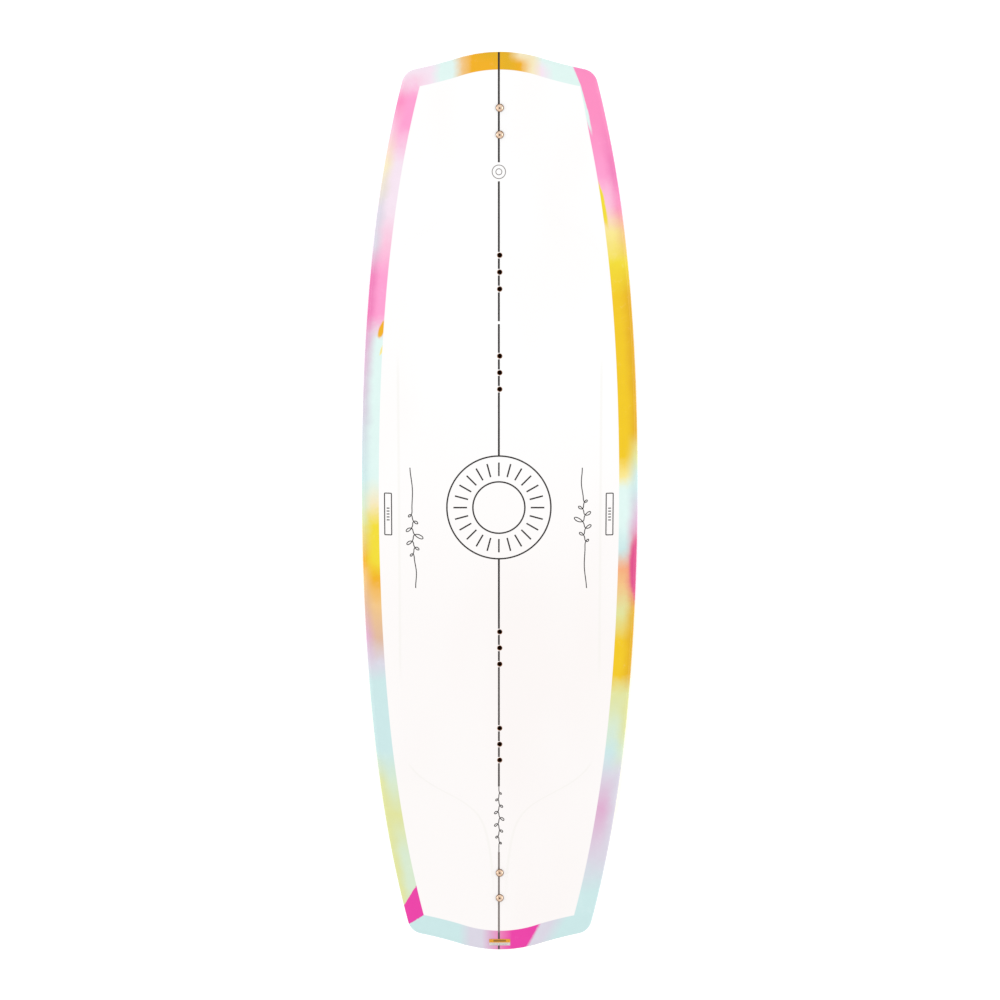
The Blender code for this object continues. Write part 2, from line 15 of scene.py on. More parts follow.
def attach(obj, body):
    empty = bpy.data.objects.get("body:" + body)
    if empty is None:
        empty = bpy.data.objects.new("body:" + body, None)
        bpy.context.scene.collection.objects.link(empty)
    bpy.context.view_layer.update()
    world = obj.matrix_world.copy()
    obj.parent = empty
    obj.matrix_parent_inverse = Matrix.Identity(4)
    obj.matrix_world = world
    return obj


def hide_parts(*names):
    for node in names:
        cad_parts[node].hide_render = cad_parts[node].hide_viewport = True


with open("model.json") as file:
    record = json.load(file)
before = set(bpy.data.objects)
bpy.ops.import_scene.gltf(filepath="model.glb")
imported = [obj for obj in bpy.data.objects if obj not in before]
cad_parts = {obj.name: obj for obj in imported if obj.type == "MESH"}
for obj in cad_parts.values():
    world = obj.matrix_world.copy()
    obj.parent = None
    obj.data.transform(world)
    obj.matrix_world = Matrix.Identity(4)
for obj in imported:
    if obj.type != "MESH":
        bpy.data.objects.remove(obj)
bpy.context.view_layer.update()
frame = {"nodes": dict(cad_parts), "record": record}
BODY = "root"

# ---- plan shape -----------------------------------------------------------------------
HALF_LENGTH = 0.690
HALF_WIDTH = 0.2133
SIDE_DROP_2 = 0.0556         # loss of half width at the ends: part that grows as y squared
SIDE_DROP_4 = 0.0262         # and the part that grows as the fourth power
NOSE_RADIUS = 0.215
NOSE_REACH = 0.062           # the end's round nose gives way to its wings this far out
NOSE_SLOPE = NOSE_REACH / math.sqrt(NOSE_RADIUS ** 2 - NOSE_REACH ** 2)
WING_RADIUS = 0.60
BORDER = 0.0250              # dyed band round the deck

# ---- profile --------------------------------------------------------------------------
ROCKER = 0.060
FLAT_SPOT = 0.120
MIDDLE_THICKNESS = 0.0235
END_THICKNESS = 0.0095
EDGE_THICKNESS_MIDDLE = 0.0130
EDGE_THICKNESS_LOSS = 0.0040
PAD_START = 0.160
PAD_END = 0.420
PAD_SLOPE = 0.040
PLATEAU_HALF_WIDTH = 0.155
SPINE_HALF_WIDTH = 0.010
PLATEAU_END = 0.440
PLATEAU_FADE = 0.018
CREASE_ROUNDING = 0.0025
CHANNEL_DEPTH = 0.0025
CHANNEL_START = 0.400
CHANNEL_END = 0.640
CHANNEL_INNER, CHANNEL_MIDDLE, CHANNEL_OUTER = 0.30, 0.60, 0.82

# ---- layers ---------------------------------------------------------------------------
GAP = 0.0003
BASE_SHEET = 0.0010
BASE_LAMINATE = 0.0010
DECK_LAMINATE = 0.0012
TOP_SHEET = 0.0008
SHOULDER = 0.0070
EDGE_HEIGHT = 0.0050
BASE_INSET = 0.0030
RAIL_WIDTH = 0.0140
RAIL_FOOT = 0.0020
RAIL_CHAMFER = 0.0015
SHOULDER_LINE = BORDER - SHOULDER
CORE_LINE = BORDER - RAIL_WIDTH - GAP

# ---- hardware -------------------------------------------------------------------------
STANCE_OFFSET = 0.2905
INSERT_PITCH = 0.0254
GROUP_OFFSET = 0.0762
INSERT_RADIUS = 0.0044
INSERT_BORE = 0.00325
COLLAR_RADIUS = 0.0040       # the part of an insert that comes up through the top sheet
INSERT_LENGTH = 0.0125
INSERT_BORE_DEPTH = 0.0105
INSERT_HOLE = 0.0048
THREAD_PITCH = 0.0010
THREAD_DEPTH = 0.00035
THREAD_START = 0.0008        # up from the foot of the bore
THREAD_END = 0.0010          # and down from its mouth
FIN_OFFSET = 0.5900
FIN_SCREW_PITCH = 0.0390
FIN_LENGTH = 0.1200
FIN_DEPTH = 0.0250
FIN_HALF_THICKNESS = 0.0076
FIN_END_HALF_THICKNESS = 0.0012
FIN_END_DEPTH = 0.0016
FIN_RAKE = 1.6               # how much faster its depth falls off to its ends than its thickness
FIN_EDGE_FULLNESS = 1.25     # 1 makes the fin's section a half ellipse, more thins its edge
FIN_TURNS = 24
FIN_SECTIONS = 60
SCREW_SEAT = 0.0005
SCREW_HEAD_RADIUS = 0.0060
SCREW_HEAD_HEIGHT = 0.0030
DOME_STEP = 6.5              # degrees between the rings of the domed head
SCREW_RADIUS = 0.0028
SCREW_HOLE = 0.0034
HOLE_REACH = 0.0040          # the hole cutters go this far above and below the deck
SCREW_INTO_FIN = 0.0080
RECESS_HALF_WIDTH = 0.0008
RECESS_REACH = 0.0021
RECESS_DEPTH = 0.0017
RECESS_TAPER = 0.55          # size of the recess at its floor, as a share of its mouth
LABEL_WIDTH = 0.0330
LABEL_START, LABEL_END = 0.6725, 0.6822
LABEL_SPLIT = 0.6778         # foil colours change here
LABEL_THICKNESS = 0.0004
LABEL_CORNER = 0.0008
LABEL_BEVEL = 0.0003
LABEL_RIM = 0.7              # height of its rim, as a share of its thickness

# ---- printing -------------------------------------------------------------------------
INK_THICKNESS = 0.00016
CENTRE_LINE_WIDTH = 0.0029
EMBLEM_WIDTH = 0.0023
SCRIPT_WIDTH = 0.0014
EMBLEM_Y = 0.006
EMBLEM_RADIUS = 0.0800
EMBLEM_INNER_RADIUS = 0.0400
EMBLEM_RAYS = 24
SMALL_EMBLEM_Y = 0.516
SMALL_EMBLEM_RADIUS = 0.0100
SMALL_EMBLEM_WIDTH = 0.0011
SMALL_EMBLEM_CLEARANCE = 0.0140
STANCE_CLEARANCE = 0.0022    # half of the gap in the centre line between the tip's inserts
RAY_START = 0.009            # the rays start this far from the inner ring
RAY_END = 0.010              # and end this far from the outer one
INSERT_CLEARANCE = 0.0049    # the centre line stops this far from an insert

# ---- dyes, sRGB hex -------------------------------------------------------------------
DYES = {
    "pink": "fca6d2", "candy": "fa96c4", "rose": "ec86ba", "blush": "f8c8de", "petal": "f4e4f0",
    "magenta": "ea5aac", "raspberry": "e06494", "coral": "e8708c", "lilac": "dad6e2",
    "orchid": "deb2d0", "aqua": "cce6e6", "ice": "e0f4f0", "celery": "d8e8d0", "pear": "e0e2a4",
    "butter": "f8e89c", "cream": "f4e8c4", "peach": "f0c890", "apricot": "f4b088",
    "sand": "e0bca4", "lemon": "f0dc54", "sunflower": "f0ca0a", "ochre": "e4b406",
    "marigold": "f0b43c",
}
# Where each dye lies along an edge, in mm, from its inner to its outer side; one name is both. The
# outer tints are the dyes partly darkened with painted shade of the rounded shoulder.
LEFT_EDGE_DYE = (
    (-650, "aqua"), (-610, "celery pear"), (-540, "celery pear"), (-480, "pear"),
    (-430, "celery pear"), (-380, "aqua"), (-270, "aqua"), (-240, "lilac"), (-200, "sand orchid"),
    (-150, "peach sand"), (-110, "marigold peach"), (-80, "lemon marigold"), (-20, "lemon pear"),
    (10, "cream celery"), (50, "ice aqua"), (265, "ice orchid"), (300, "pink rose"),
    (360, "pink rose"), (410, "blush lilac"), (460, "petal lilac"), (530, "petal cream"),
    (580, "pink blush"), (620, "pink candy"), (660, "petal"),
)
RIGHT_EDGE_DYE = (
    (-680, "aqua"), (-600, "aqua"), (-550, "lilac"), (-470, "orchid lilac"), (-420, "lilac"),
    (-380, "aqua celery"), (-340, "celery pear"), (-290, "pear"), (-260, "sunflower ochre"),
    (-205, "sunflower ochre"), (-160, "pear ochre"), (-120, "peach coral"), (-90, "apricot coral"),
    (-60, "aqua coral"), (-20, "ice orchid"), (35, "ice aqua"), (55, "butter aqua"),
    (85, "sunflower pear"), (120, "sunflower ochre"), (330, "sunflower ochre"),
    (380, "lemon"), (425, "butter peach"), (470, "blush candy"), (510, "pink rose"),
    (600, "candy"),
)
TIP_EDGE_DYE = (
    (-135, "blush petal"), (-100, "petal"), (-86, "ice"), (-70, "ice"), (-56, "peach"),
    (-42, "marigold"), (-15, "marigold ochre"), (12, "ochre"), (30, "marigold cream"),
    (48, "cream"), (62, "petal ice"), (80, "ice"),
)
TAIL_EDGE_DYE = (
    (-64, "aqua"), (-46, "lilac"), (-28, "lilac"), (-14, "orchid"), (4, "rose"),
    (20, "magenta"), (60, "magenta"), (66, "lilac"), (82, "lilac"), (108, "aqua"),
)
WEDGE_TOP = -0.590           # sharp magenta wedge at the left of the tail: top, inner side
WEDGE_SKEW = 0.032           # and how far it falls towards the edge
TAIL_SKEW = 0.021            # lean of the sharp edge of the tail's magenta

DECK_COOL = (0.912, 0.912, 0.912, 1.0)
DECK_WARM = (0.880, 0.842, 0.830, 1.0)
# painted shade: colour of the thin darker line along the tail's creases
DECK_CREASE_SHADE = (0.80, 0.79, 0.74, 1.0)

BAND_LEFT = 0.0270           # widths of the dyed band, and how sharp its inner edge is
BAND_RIGHT = 0.0293
BAND_TIP = 0.0256
BAND_TAIL = 0.0300
BAND_TAPER = 0.0030          # the right side's band narrows by this towards the tip
BAND_EDGE = 0.015            # softness of the band's inner edge, as a share of its width
DYE_FLECKS = (               # side, y, half length, share across the band, half share, dye
    ("left", 0.2800, 0.0160, 0.10, 0.22, "marigold"),
    ("left", 0.2500, 0.0120, 0.00, 0.10, "butter"),
    ("right", 0.6200, 0.0550, 0.00, 0.13, "ice"),
    ("right", 0.4700, 0.0420, 0.02, 0.20, "lemon"),
    ("right", -0.0960, 0.0620, 1.10, 0.56, "raspberry"),
)
LINE_X = -0.0013             # the printing sits a little left of the middle
TAIL_SCRIPT_Y = -0.486
TAIL_SCRIPT_LENGTH = 0.104
TAIL_SWINGS = (0.0040, -0.0050, 0.0060, -0.0070, 0.0080, -0.0070, 0.0060, -0.0050, 0.0040)
SIDE_SCRIPTS = (             # where the side flourishes start and end
    ((-0.1378, 0.068), (-0.1300, -0.120)),
    ((0.1343, -0.120), (0.1266, 0.068)),
)
SIDE_SWINGS = (-0.0060, 0.0080, -0.0105, 0.0150, -0.0105, 0.0080, -0.0060)
SIZE_BOX_X = (-0.1720, 0.1692)
SIZE_BOX_Y = -0.0045
SIZE_BOX_HALF = (0.0054, 0.0325)
SIZE_BOX_CORNER = 0.0010
SIZE_BOX_WIDTH = 0.0016
TICK_COUNT = 5
TICK_PITCH = 0.0046
TICK_REACH = 0.0022
LABEL_BAR_Y = 0.6750

# ---- stage ----------------------------------------------------------------------------
FLOOR_HALF = 6.0
FLOOR_DROP = 0.0002
FLOOR_GLOW = 0.25
FLOOR_DARK = (0.93, 0.93, 0.93, 1.0)
FLOOR_LIGHT = (0.95, 0.95, 0.95, 1.0)
WHITE = (1.0, 1.0, 1.0, 1.0)
WORLD_STRENGTH = 0.985
LAMP_ENERGY = 12.0
LAMP_SIZE = (0.9, 2.0)
LAMP_SIDE = 2.6
LAMP_HEIGHT = 1.7
CAMERA_DISTANCE = 3.248
CAMERA_TILT = 9.003
CAMERA_FOCAL = 2.0955        # focal length as a share of the picture's width
SENSOR_WIDTH = 36.0          # in millimetres
CAMERA_SHIFT_X = 0.00027
CAMERA_SHIFT_Y = 0.00907


# ---- outline --------------------------------------------------------------------------
def side_half_width(y):
    t = y / HALF_LENGTH
    return HALF_WIDTH - SIDE_DROP_2 * t ** 2 - SIDE_DROP_4 * t ** 4


def end_drop(x):
    """How far the end curve has fallen back from the very tip at x."""
    across = abs(x)
    if across <= NOSE_REACH:
        return NOSE_RADIUS - math.sqrt(NOSE_RADIUS ** 2 - across ** 2)
    past = across - NOSE_REACH
    return end_drop(NOSE_REACH) + NOSE_SLOPE * past - past ** 2 / (2 * WING_RADIUS)


def slope_of(curve, at):
    step = 1e-4
    return (curve(at + step) - curve(at - step)) / (2 * step)


def inner_side(y):
    """Side of the line that runs one border width inside the edge."""
    return side_half_width(y) - BORDER * math.hypot(1.0, slope_of(side_half_width, y))


def inner_end(x):
    return HALF_LENGTH - end_drop(x) - BORDER * math.hypot(1.0, slope_of(end_drop, x))


def inner_corner():
    y = HALF_LENGTH - BORDER
    for _ in range(40):
        x = inner_side(y)
        y = inner_end(x)
    return x, y


CORNER_X, CORNER_Y = inner_corner()


# ---- heights --------------------------------------------------------------------------
def rocker(y):
    rise = max(0.0, abs(y) - FLAT_SPOT) / (HALF_LENGTH - FLAT_SPOT)
    return ROCKER * rise ** 2


def channel(x, y):
    """Depth of the channels moulded into the base under both ends."""
    if not CHANNEL_START < abs(y) < CHANNEL_END:
        return 0.0
    along = (abs(y) - CHANNEL_START) / (CHANNEL_END - CHANNEL_START)
    across = abs(x) / inner_side(y)
    if across < CHANNEL_MIDDLE:
        side = (across - CHANNEL_INNER) / (CHANNEL_MIDDLE - CHANNEL_INNER)
    else:
        side = (CHANNEL_OUTER - across) / (CHANNEL_OUTER - CHANNEL_MIDDLE)
    if side <= 0.0:
        return 0.0
    return CHANNEL_DEPTH * math.sin(math.pi * along) ** 2 * side ** 2 * (3 - 2 * side)


def base_z(x, y):
    return rocker(y) + channel(x, y)


def ridge_z(y):
    """Height of the deck along the middle: level, a straight pad, then a rising curve."""
    far = abs(y)
    bend = PAD_START - FLAT_SPOT
    if far <= FLAT_SPOT:
        return MIDDLE_THICKNESS
    if far <= PAD_START:
        return MIDDLE_THICKNESS + PAD_SLOPE * (far - FLAT_SPOT) ** 2 / (2 * bend)
    pad_foot = MIDDLE_THICKNESS + PAD_SLOPE * bend / 2
    if far <= PAD_END:
        return pad_foot + PAD_SLOPE * (far - PAD_START)
    pad_head = pad_foot + PAD_SLOPE * (PAD_END - PAD_START)
    run = HALF_LENGTH - PAD_END
    past = far - PAD_END
    lift = ROCKER + END_THICKNESS - pad_head - PAD_SLOPE * run
    return pad_head + PAD_SLOPE * past + lift * (past / run) ** 2


def plateau_half_width(y):
    fade = 1.0 / (1.0 + math.exp((abs(y) - PLATEAU_END) / PLATEAU_FADE))
    return SPINE_HALF_WIDTH + (PLATEAU_HALF_WIDTH - SPINE_HALF_WIDTH) * fade


def deck_z(x, y):
    """Deck height: the plateau, a softened crease, and the bevel down to the shoulder."""
    middle = ridge_z(y) - rocker(y)
    edge = EDGE_THICKNESS_MIDDLE - EDGE_THICKNESS_LOSS * (y / HALF_LENGTH) ** 2
    crease = plateau_half_width(y)
    run = side_half_width(y) - SHOULDER - crease
    share = (abs(x) - crease) / run
    share = min(1.0, 0.5 * (share + math.hypot(share, CREASE_ROUNDING / run)))
    return rocker(y) + middle + (edge - middle) * share


def above(surface, distance):
    return lambda x, y: surface(x, y) + distance


# ---- lanes and rows of the sheets -----------------------------------------------------
CREASE_LANE = 0.80
DECK_LANES = (0.0, 0.10, 0.20, 0.30, 0.40, 0.50, 0.60, 0.70, 0.76, 0.785, 0.794, 0.80,
              0.807, 0.818, 0.84, 0.87, 0.90, 0.93, 0.96, 1.0)
BASE_LANE_COUNT = 24
ROW_COUNT = 104
CORNER_STEPS = 8
SHOULDER_TURNS = (90, 78, 66, 54, 42, 30, 20, 10, 0)

Station = namedtuple("Station", "x y nx ny row column")


def mirrored(stations):
    return [-value for value in reversed(stations[1:])] + list(stations)


DECK_COLUMNS = mirrored(DECK_LANES)
BASE_COLUMNS = mirrored([step / BASE_LANE_COUNT for step in range(BASE_LANE_COUNT + 1)])
ROWS = mirrored([step / ROW_COUNT for step in range(ROW_COUNT + 1)])


def crease_lane(across, y):
    """X of a lane of the deck's grid: the lanes at CREASE_LANE follow the crease."""
    far = min(abs(y), CORNER_Y)
    crease = plateau_half_width(far)
    side = abs(across)
    if side <= CREASE_LANE:
        x = crease * side / CREASE_LANE
    else:
        x = crease + (inner_side(far) - crease) * (side - CREASE_LANE) / (1 - CREASE_LANE)
    return math.copysign(x, across)


def even_lane(across, y):
    return across * inner_side(min(abs(y), CORNER_Y))


def plan_grid(columns, lane):
    """Rows of (x, y) points that fill the inner line."""
    grid = []
    for along in ROWS:
        row = []
        for across in columns:
            y = along * inner_end(lane(across, CORNER_Y))
            row.append((lane(across, y), y))
        grid.append(row)
    return grid


def rim_of(grid):
    """Stations round the inner line, anticlockwise from the tail's right corner."""
    last_row, last_column = len(grid) - 1, len(grid[0]) - 1
    right = []
    for row, line in enumerate(grid):
        x, y = line[last_column]
        normal = Vector((1.0, -slope_of(inner_side, y))).normalized()
        right.append(Station(x, y, normal.x, normal.y, row, last_column))
    tip = []
    for column in range(last_column, -1, -1):
        x, y = grid[last_row][column]
        normal = Vector((-slope_of(inner_end, x), 1.0)).normalized()
        tip.append(Station(x, y, normal.x, normal.y, last_row, column))
    turned = []
    for station in right + tip:
        turned.append(Station(-station.x, -station.y, -station.nx, -station.ny,
                              last_row - station.row, last_column - station.column))
    left, tail = turned[:len(right)], turned[len(right):]
    rim = right + corner_fan(right[-1], tip[0]) + tip + corner_fan(tip[-1], left[0])
    rim += left + corner_fan(left[-1], tail[0]) + tail + corner_fan(tail[-1], right[0])
    return rim


def corner_fan(first, last):
    """Stations that share a corner's point and turn from one edge to the next."""
    start = math.atan2(first.ny, first.nx)
    turn = (math.atan2(last.ny, last.nx) - start) % (2 * math.pi)
    fan = []
    for step in range(1, CORNER_STEPS):
        angle = start + turn * step / CORNER_STEPS
        fan.append(first._replace(nx=math.cos(angle), ny=math.sin(angle)))
    return fan


def moved_out(station, reach):
    return station.x + reach * station.nx, station.y + reach * station.ny


def level_loop(rim, reach, height):
    """Points of a loop that runs one reach outside the inner line."""
    points = []
    for station in rim:
        x, y = moved_out(station, reach)
        points.append((x, y, height(x, y)))
    return points


def shoulder_loop(rim, turn_degrees, skin):
    """The same on the rounded shoulder, skin metres under its outside."""
    turn = math.radians(turn_degrees)
    reach = SHOULDER_LINE + (SHOULDER - skin) * math.cos(turn)
    points = []
    for station in rim:
        x, y = moved_out(station, reach)
        x_line, y_line = moved_out(station, SHOULDER_LINE)
        rise = deck_z(x_line, y_line) - rocker(y_line) - EDGE_HEIGHT - skin
        points.append((x, y, rocker(y) + EDGE_HEIGHT + rise * math.sin(turn)))
    return points


# ---- meshes ---------------------------------------------------------------------------
TURNED_MAP = "turned"        # UV map of turned pieces: distance from the axis, depth


def ring_of(mesh, points):
    return [mesh.verts.new(point) for point in points]


def bridge(mesh, first, second):
    """A band of faces between two rings, which may share vertices."""
    for index in range(len(first)):
        after = (index + 1) % len(first)
        corners = []
        for vertex in (first[index], second[index], second[after], first[after]):
            if vertex not in corners:
                corners.append(vertex)
        if len(corners) > 2:
            mesh.faces.new(corners)


def bridge_all(mesh, rings):
    for first, second in zip(rings, rings[1:]):
        bridge(mesh, first, second)


def filled_line(mesh, plan, surface, facing_up, rim):
    """Fills the inner line with a grid; returns its edge in the order of rim."""
    rows = [ring_of(mesh, [(x, y, surface(x, y)) for x, y in line]) for line in plan]
    for near, far in zip(rows, rows[1:]):
        for column in range(len(near) - 1):
            face = (near[column], near[column + 1], far[column + 1], far[column])
            mesh.faces.new(face if facing_up else reversed(face))
    return [rows[station.row][station.column] for station in rim]


def finished_mesh(mesh, name, sharp_degrees=30.0):
    data = bpy.data.meshes.new(name)
    mesh.to_mesh(data)
    mesh.free()
    data.shade_smooth()
    data.set_sharp_from_angle(angle=math.radians(sharp_degrees))
    return data


def add_object(name, data, *finishes):
    piece = bpy.data.objects.new(name, data)
    bpy.context.scene.collection.objects.link(piece)
    for finish in finishes:
        data.materials.append(finish)
    return piece


def outward_piece(mesh, name, sharp_degrees, *finishes):
    """A piece from a mesh of rings, with all its faces turned outwards."""
    bmesh.ops.recalc_face_normals(mesh, faces=mesh.faces)
    return add_object(name, finished_mesh(mesh, name, sharp_degrees), *finishes)


def evaluated_mesh(piece):
    """What a piece's modifiers make of it, as a plain mesh; the piece is removed."""
    graph = bpy.context.evaluated_depsgraph_get()
    data = bpy.data.meshes.new_from_object(piece.evaluated_get(graph), depsgraph=graph)
    data.name = piece.name
    bpy.data.objects.remove(piece)
    return data


def turned_mesh(name, profile, sides, ripple=None):
    """Turns (radius, height) points about Z, up the bore side and down the outer side.

    Distance from the axis and depth are kept as a UV map, for finishes that follow them.
    """
    mesh = bmesh.new()
    layer = mesh.loops.layers.uv.new(TURNED_MAP)
    rings = []
    for radius, height in profile:
        if radius == 0.0:
            rings.append([mesh.verts.new((0.0, 0.0, height))] * sides)
            continue
        points = []
        for step in range(sides):
            angle = 2 * math.pi * step / sides
            reach = radius - (ripple(angle, radius, height) if ripple else 0.0)
            points.append((reach * math.cos(angle), reach * math.sin(angle), height))
        rings.append(ring_of(mesh, points))
    bridge_all(mesh, rings)
    for face in mesh.faces:
        for corner in face.loops:
            spot = corner.vert.co
            corner[layer].uv = (spot.xy.length / INSERT_RADIUS, -spot.z / INSERT_BORE_DEPTH)
    return finished_mesh(mesh, name)


def rounded_outline(x, y, half_x, half_y, corner, steps):
    """Corners of a box with rounded corners, anticlockwise; steps is per quarter turn."""
    points = []
    for quarter, (side_x, side_y) in enumerate(((1, 1), (-1, 1), (-1, -1), (1, -1))):
        for step in range(steps + 1):
            turn = (quarter + step / steps) * math.pi / 2
            points.append((x + side_x * (half_x - corner) + corner * math.cos(turn),
                           y + side_y * (half_y - corner) + corner * math.sin(turn)))
    return points


def divided(outline, spacing):
    """The same closed outline with points no more than about spacing apart."""
    points = []
    for index, (x, y) in enumerate(outline):
        x_next, y_next = outline[(index + 1) % len(outline)]
        count = max(1, round(math.hypot(x_next - x, y_next - y) / spacing))
        for part in range(count):
            share = part / count
            points.append((x + (x_next - x) * share, y + (y_next - y) * share))
    return points


def cap(mesh, ring):
    """Fills a ring that isn't flat with triangles."""
    after = ring[1:] + ring[:1]
    edges = [mesh.edges.get(pair) for pair in zip(ring, after)]
    bmesh.ops.triangle_fill(mesh, use_beauty=True, edges=edges)


def cutter_of(name, meshes):
    """One hidden object that holds every cutter, each with its own placement."""
    joined = bmesh.new()
    for data, placement in meshes:
        moved = data.copy()
        moved.transform(placement)
        joined.from_mesh(moved)
        bpy.data.meshes.remove(moved)
    tool = add_object(name, finished_mesh(joined, name))
    tool.hide_render = True
    return tool


def cut_by(piece, tool):
    """Cuts a piece and bakes the result into a plain mesh of the same name."""
    modifier = piece.modifiers.new("cut", "BOOLEAN")
    modifier.operation = "DIFFERENCE"
    modifier.solver = "EXACT"
    modifier.object = tool
    name = piece.name
    data = evaluated_mesh(piece)
    bpy.data.objects.remove(tool)
    data.name = name
    data.set_sharp_from_angle(angle=math.radians(30.0))
    return data


def on_deck(y, lift=0.0):
    """Placement on the centreline of the deck, square to it, lift metres up its normal."""
    turned = Matrix.Rotation(math.atan(slope_of(ridge_z, y)), 4, "X")
    return Matrix.Translation((0.0, y, ridge_z(y))) @ turned @ Matrix.Translation((0.0, 0.0, lift))


def insert_places():
    places = []
    for row, middle in (("tip_outer", STANCE_OFFSET + GROUP_OFFSET),
                        ("tip_inner", STANCE_OFFSET - GROUP_OFFSET),
                        ("tail_inner", GROUP_OFFSET - STANCE_OFFSET),
                        ("tail_outer", -GROUP_OFFSET - STANCE_OFFSET)):
        for step in (1, 0, -1):
            places.append((f"insert_{row}_{2 - step}", middle + step * INSERT_PITCH))
    return places


def fin_screw_places():
    places = []
    for end, sign in (("tip", 1.0), ("tail", -1.0)):
        for label, side in (("outer", 0.5), ("inner", -0.5)):
            places.append((f"fin_screw_{end}_{label}", sign * (FIN_OFFSET + side * FIN_SCREW_PITCH)))
    return places


# ---- node trees -----------------------------------------------------------------------
class Wire:
    """One output socket. Arithmetic on wires adds Math nodes to their tree."""

    def __init__(self, tree, socket):
        self.tree = tree
        self.socket = socket

    def maths(self, operation, *others):
        return self.tree.add("ShaderNodeMath", {"operation": operation},
                             dict(enumerate((self, *others))))

    def __add__(self, other):
        return self.maths("ADD", other)

    def __sub__(self, other):
        return self.maths("SUBTRACT", other)

    def __rsub__(self, other):
        return self.tree.add("ShaderNodeMath", {"operation": "SUBTRACT"}, {0: other, 1: self})

    def __mul__(self, other):
        return self.maths("MULTIPLY", other)

    def __truediv__(self, other):
        return self.maths("DIVIDE", other)

    def __rtruediv__(self, other):
        return self.tree.add("ShaderNodeMath", {"operation": "DIVIDE"}, {0: other, 1: self})

    def __abs__(self):
        return self.maths("ABSOLUTE")

    __radd__ = __add__
    __rmul__ = __mul__

    def rise(self, low, high):
        """0 below low, 1 above high, smooth between; turned round if low is above high."""
        return self.tree.add("ShaderNodeMapRange", {"interpolation_type": "SMOOTHSTEP"},
                             {"Value": self, "From Min": low, "From Max": high})


class Tree:
    """A node tree under construction."""

    def __init__(self, nodes):
        self.tree = nodes

    def add(self, kind, settings=None, sockets=None, out=0):
        """Adds a node: its settings first, then the values or wires of its sockets."""
        node = self.tree.nodes.new(kind)
        for key, value in (settings or {}).items():
            if key == "stops":
                self.set_stops(node.color_ramp, value)
            else:
                setattr(node, key, value)
        for key, value in (sockets or {}).items():
            if isinstance(value, Wire):
                self.tree.links.new(value.socket, node.inputs[key])
            else:
                node.inputs[key].default_value = value
        return Wire(self, node.outputs[out])

    @staticmethod
    def set_stops(ramp, stops):
        while len(ramp.elements) < len(stops):
            ramp.elements.new(0.5)
        for element, (position, colour) in zip(ramp.elements, stops):
            element.position = position
        for element, (position, colour) in zip(ramp.elements, stops):
            element.color = colour


class Finish(Tree):
    """A surface finish: a Principled material whose values stay on its own sockets."""

    def __init__(self, name, **constants):
        self.material = bpy.data.materials.new(name)
        self.material.use_nodes = True
        super().__init__(self.material.node_tree)
        self.shader = self.tree.nodes["Principled BSDF"]
        for key, value in constants.items():
            self.shader.inputs[key.replace("_", " ")].default_value = value
        self.spot = self.add("ShaderNodeTexCoord", out="Object")
        self.x, self.y = self.parts(self.spot)

    def parts(self, vector):
        """The first two parts of a vector."""
        node = self.add("ShaderNodeSeparateXYZ", None, {0: vector}).socket.node
        return Wire(self, node.outputs[0]), Wire(self, node.outputs[1])

    def feed(self, socket, wire):
        self.tree.links.new(wire.socket, self.shader.inputs[socket])

    def made_of(self, colour, roughness, height=None, strength=0.0, distance=0.0):
        """Feeds the colour, the roughness and the relief, and returns the material."""
        self.feed("Base Color", colour)
        self.feed("Roughness", roughness)
        if height is not None:
            self.feed("Normal", self.add("ShaderNodeBump", None, {
                "Height": height, "Strength": strength, "Distance": distance}))
        return self.material

    def noise(self, scale, detail=2.0, roughness=0.5):
        """Noise over the piece; a scale of three parts stretches it."""
        spot = self.spot
        if isinstance(scale, tuple):
            spot = self.add("ShaderNodeVectorMath", {"operation": "MULTIPLY"}, {0: spot, 1: scale})
            scale = 1.0
        return self.add("ShaderNodeTexNoise", None, {
            "Vector": spot, "Scale": scale, "Detail": detail, "Roughness": roughness})

    def bands(self, direction, scale):
        return self.add("ShaderNodeTexWave", {"wave_type": "BANDS", "bands_direction": direction},
                        {"Vector": self.spot, "Scale": scale})

    def mix(self, first, second, factor, blend="MIX"):
        """Colour first where factor is 0, second where it is 1."""
        return self.add("ShaderNodeMix", {"data_type": "RGBA", "blend_type": blend},
                        {0: factor, 6: first, 7: second}, out=2)

    def ramp(self, factor, *stops):
        return self.add("ShaderNodeValToRGB", {"stops": stops}, {"Fac": factor})


def dye(code):
    """Linear colour of a name in DYES or of an sRGB hex code."""
    code = DYES.get(code, code)
    linear = []
    for start in (0, 2, 4):
        value = int(code[start:start + 2], 16) / 255
        linear.append(value / 12.92 if value <= 0.04045 else ((value + 0.055) / 1.055) ** 2.4)
    return (*linear, 1.0)


# ---- dyed border ----------------------------------------------------------------------
PIGMENT = 1.01               # how light the dyes are, as a share of their sRGB codes
GLOSS_VEIL = 0.068           # light that the gloss adds over them, taken off beforehand
ACROSS = 0.002               # half the width of a change from one side or end to the other
BLEED = 0.022                # how far the dyes wander along the edges, in metres
FEATHER = 0.007              # and the same on a finer scale
BLEED_ACROSS = 0.4           # the same across the band, as a share of its width
OUTER_SHADED_TINT_START = 0.30      # share of the band's width where its outer tints, partly darkened with painted shade, start to show
END_RANGE = 0.16             # half length of the ends' charts
CLEAN = 0.001                # half the width of a clean edge between two dyes
BLURRED = 0.005              # and of a blurred one
TIP_LEFT_SLOPE = 1.07        # how steeply the edge between the ends' dyes and the sides' runs
TIP_RIGHT_SLOPE = 0.375      # away from each corner
TAIL_LEFT_SLOPE = 0.58


def border_dye(code):
    return (*[max(0.0, PIGMENT * value - GLOSS_VEIL) for value in dye(code)[:3]], 1.0)


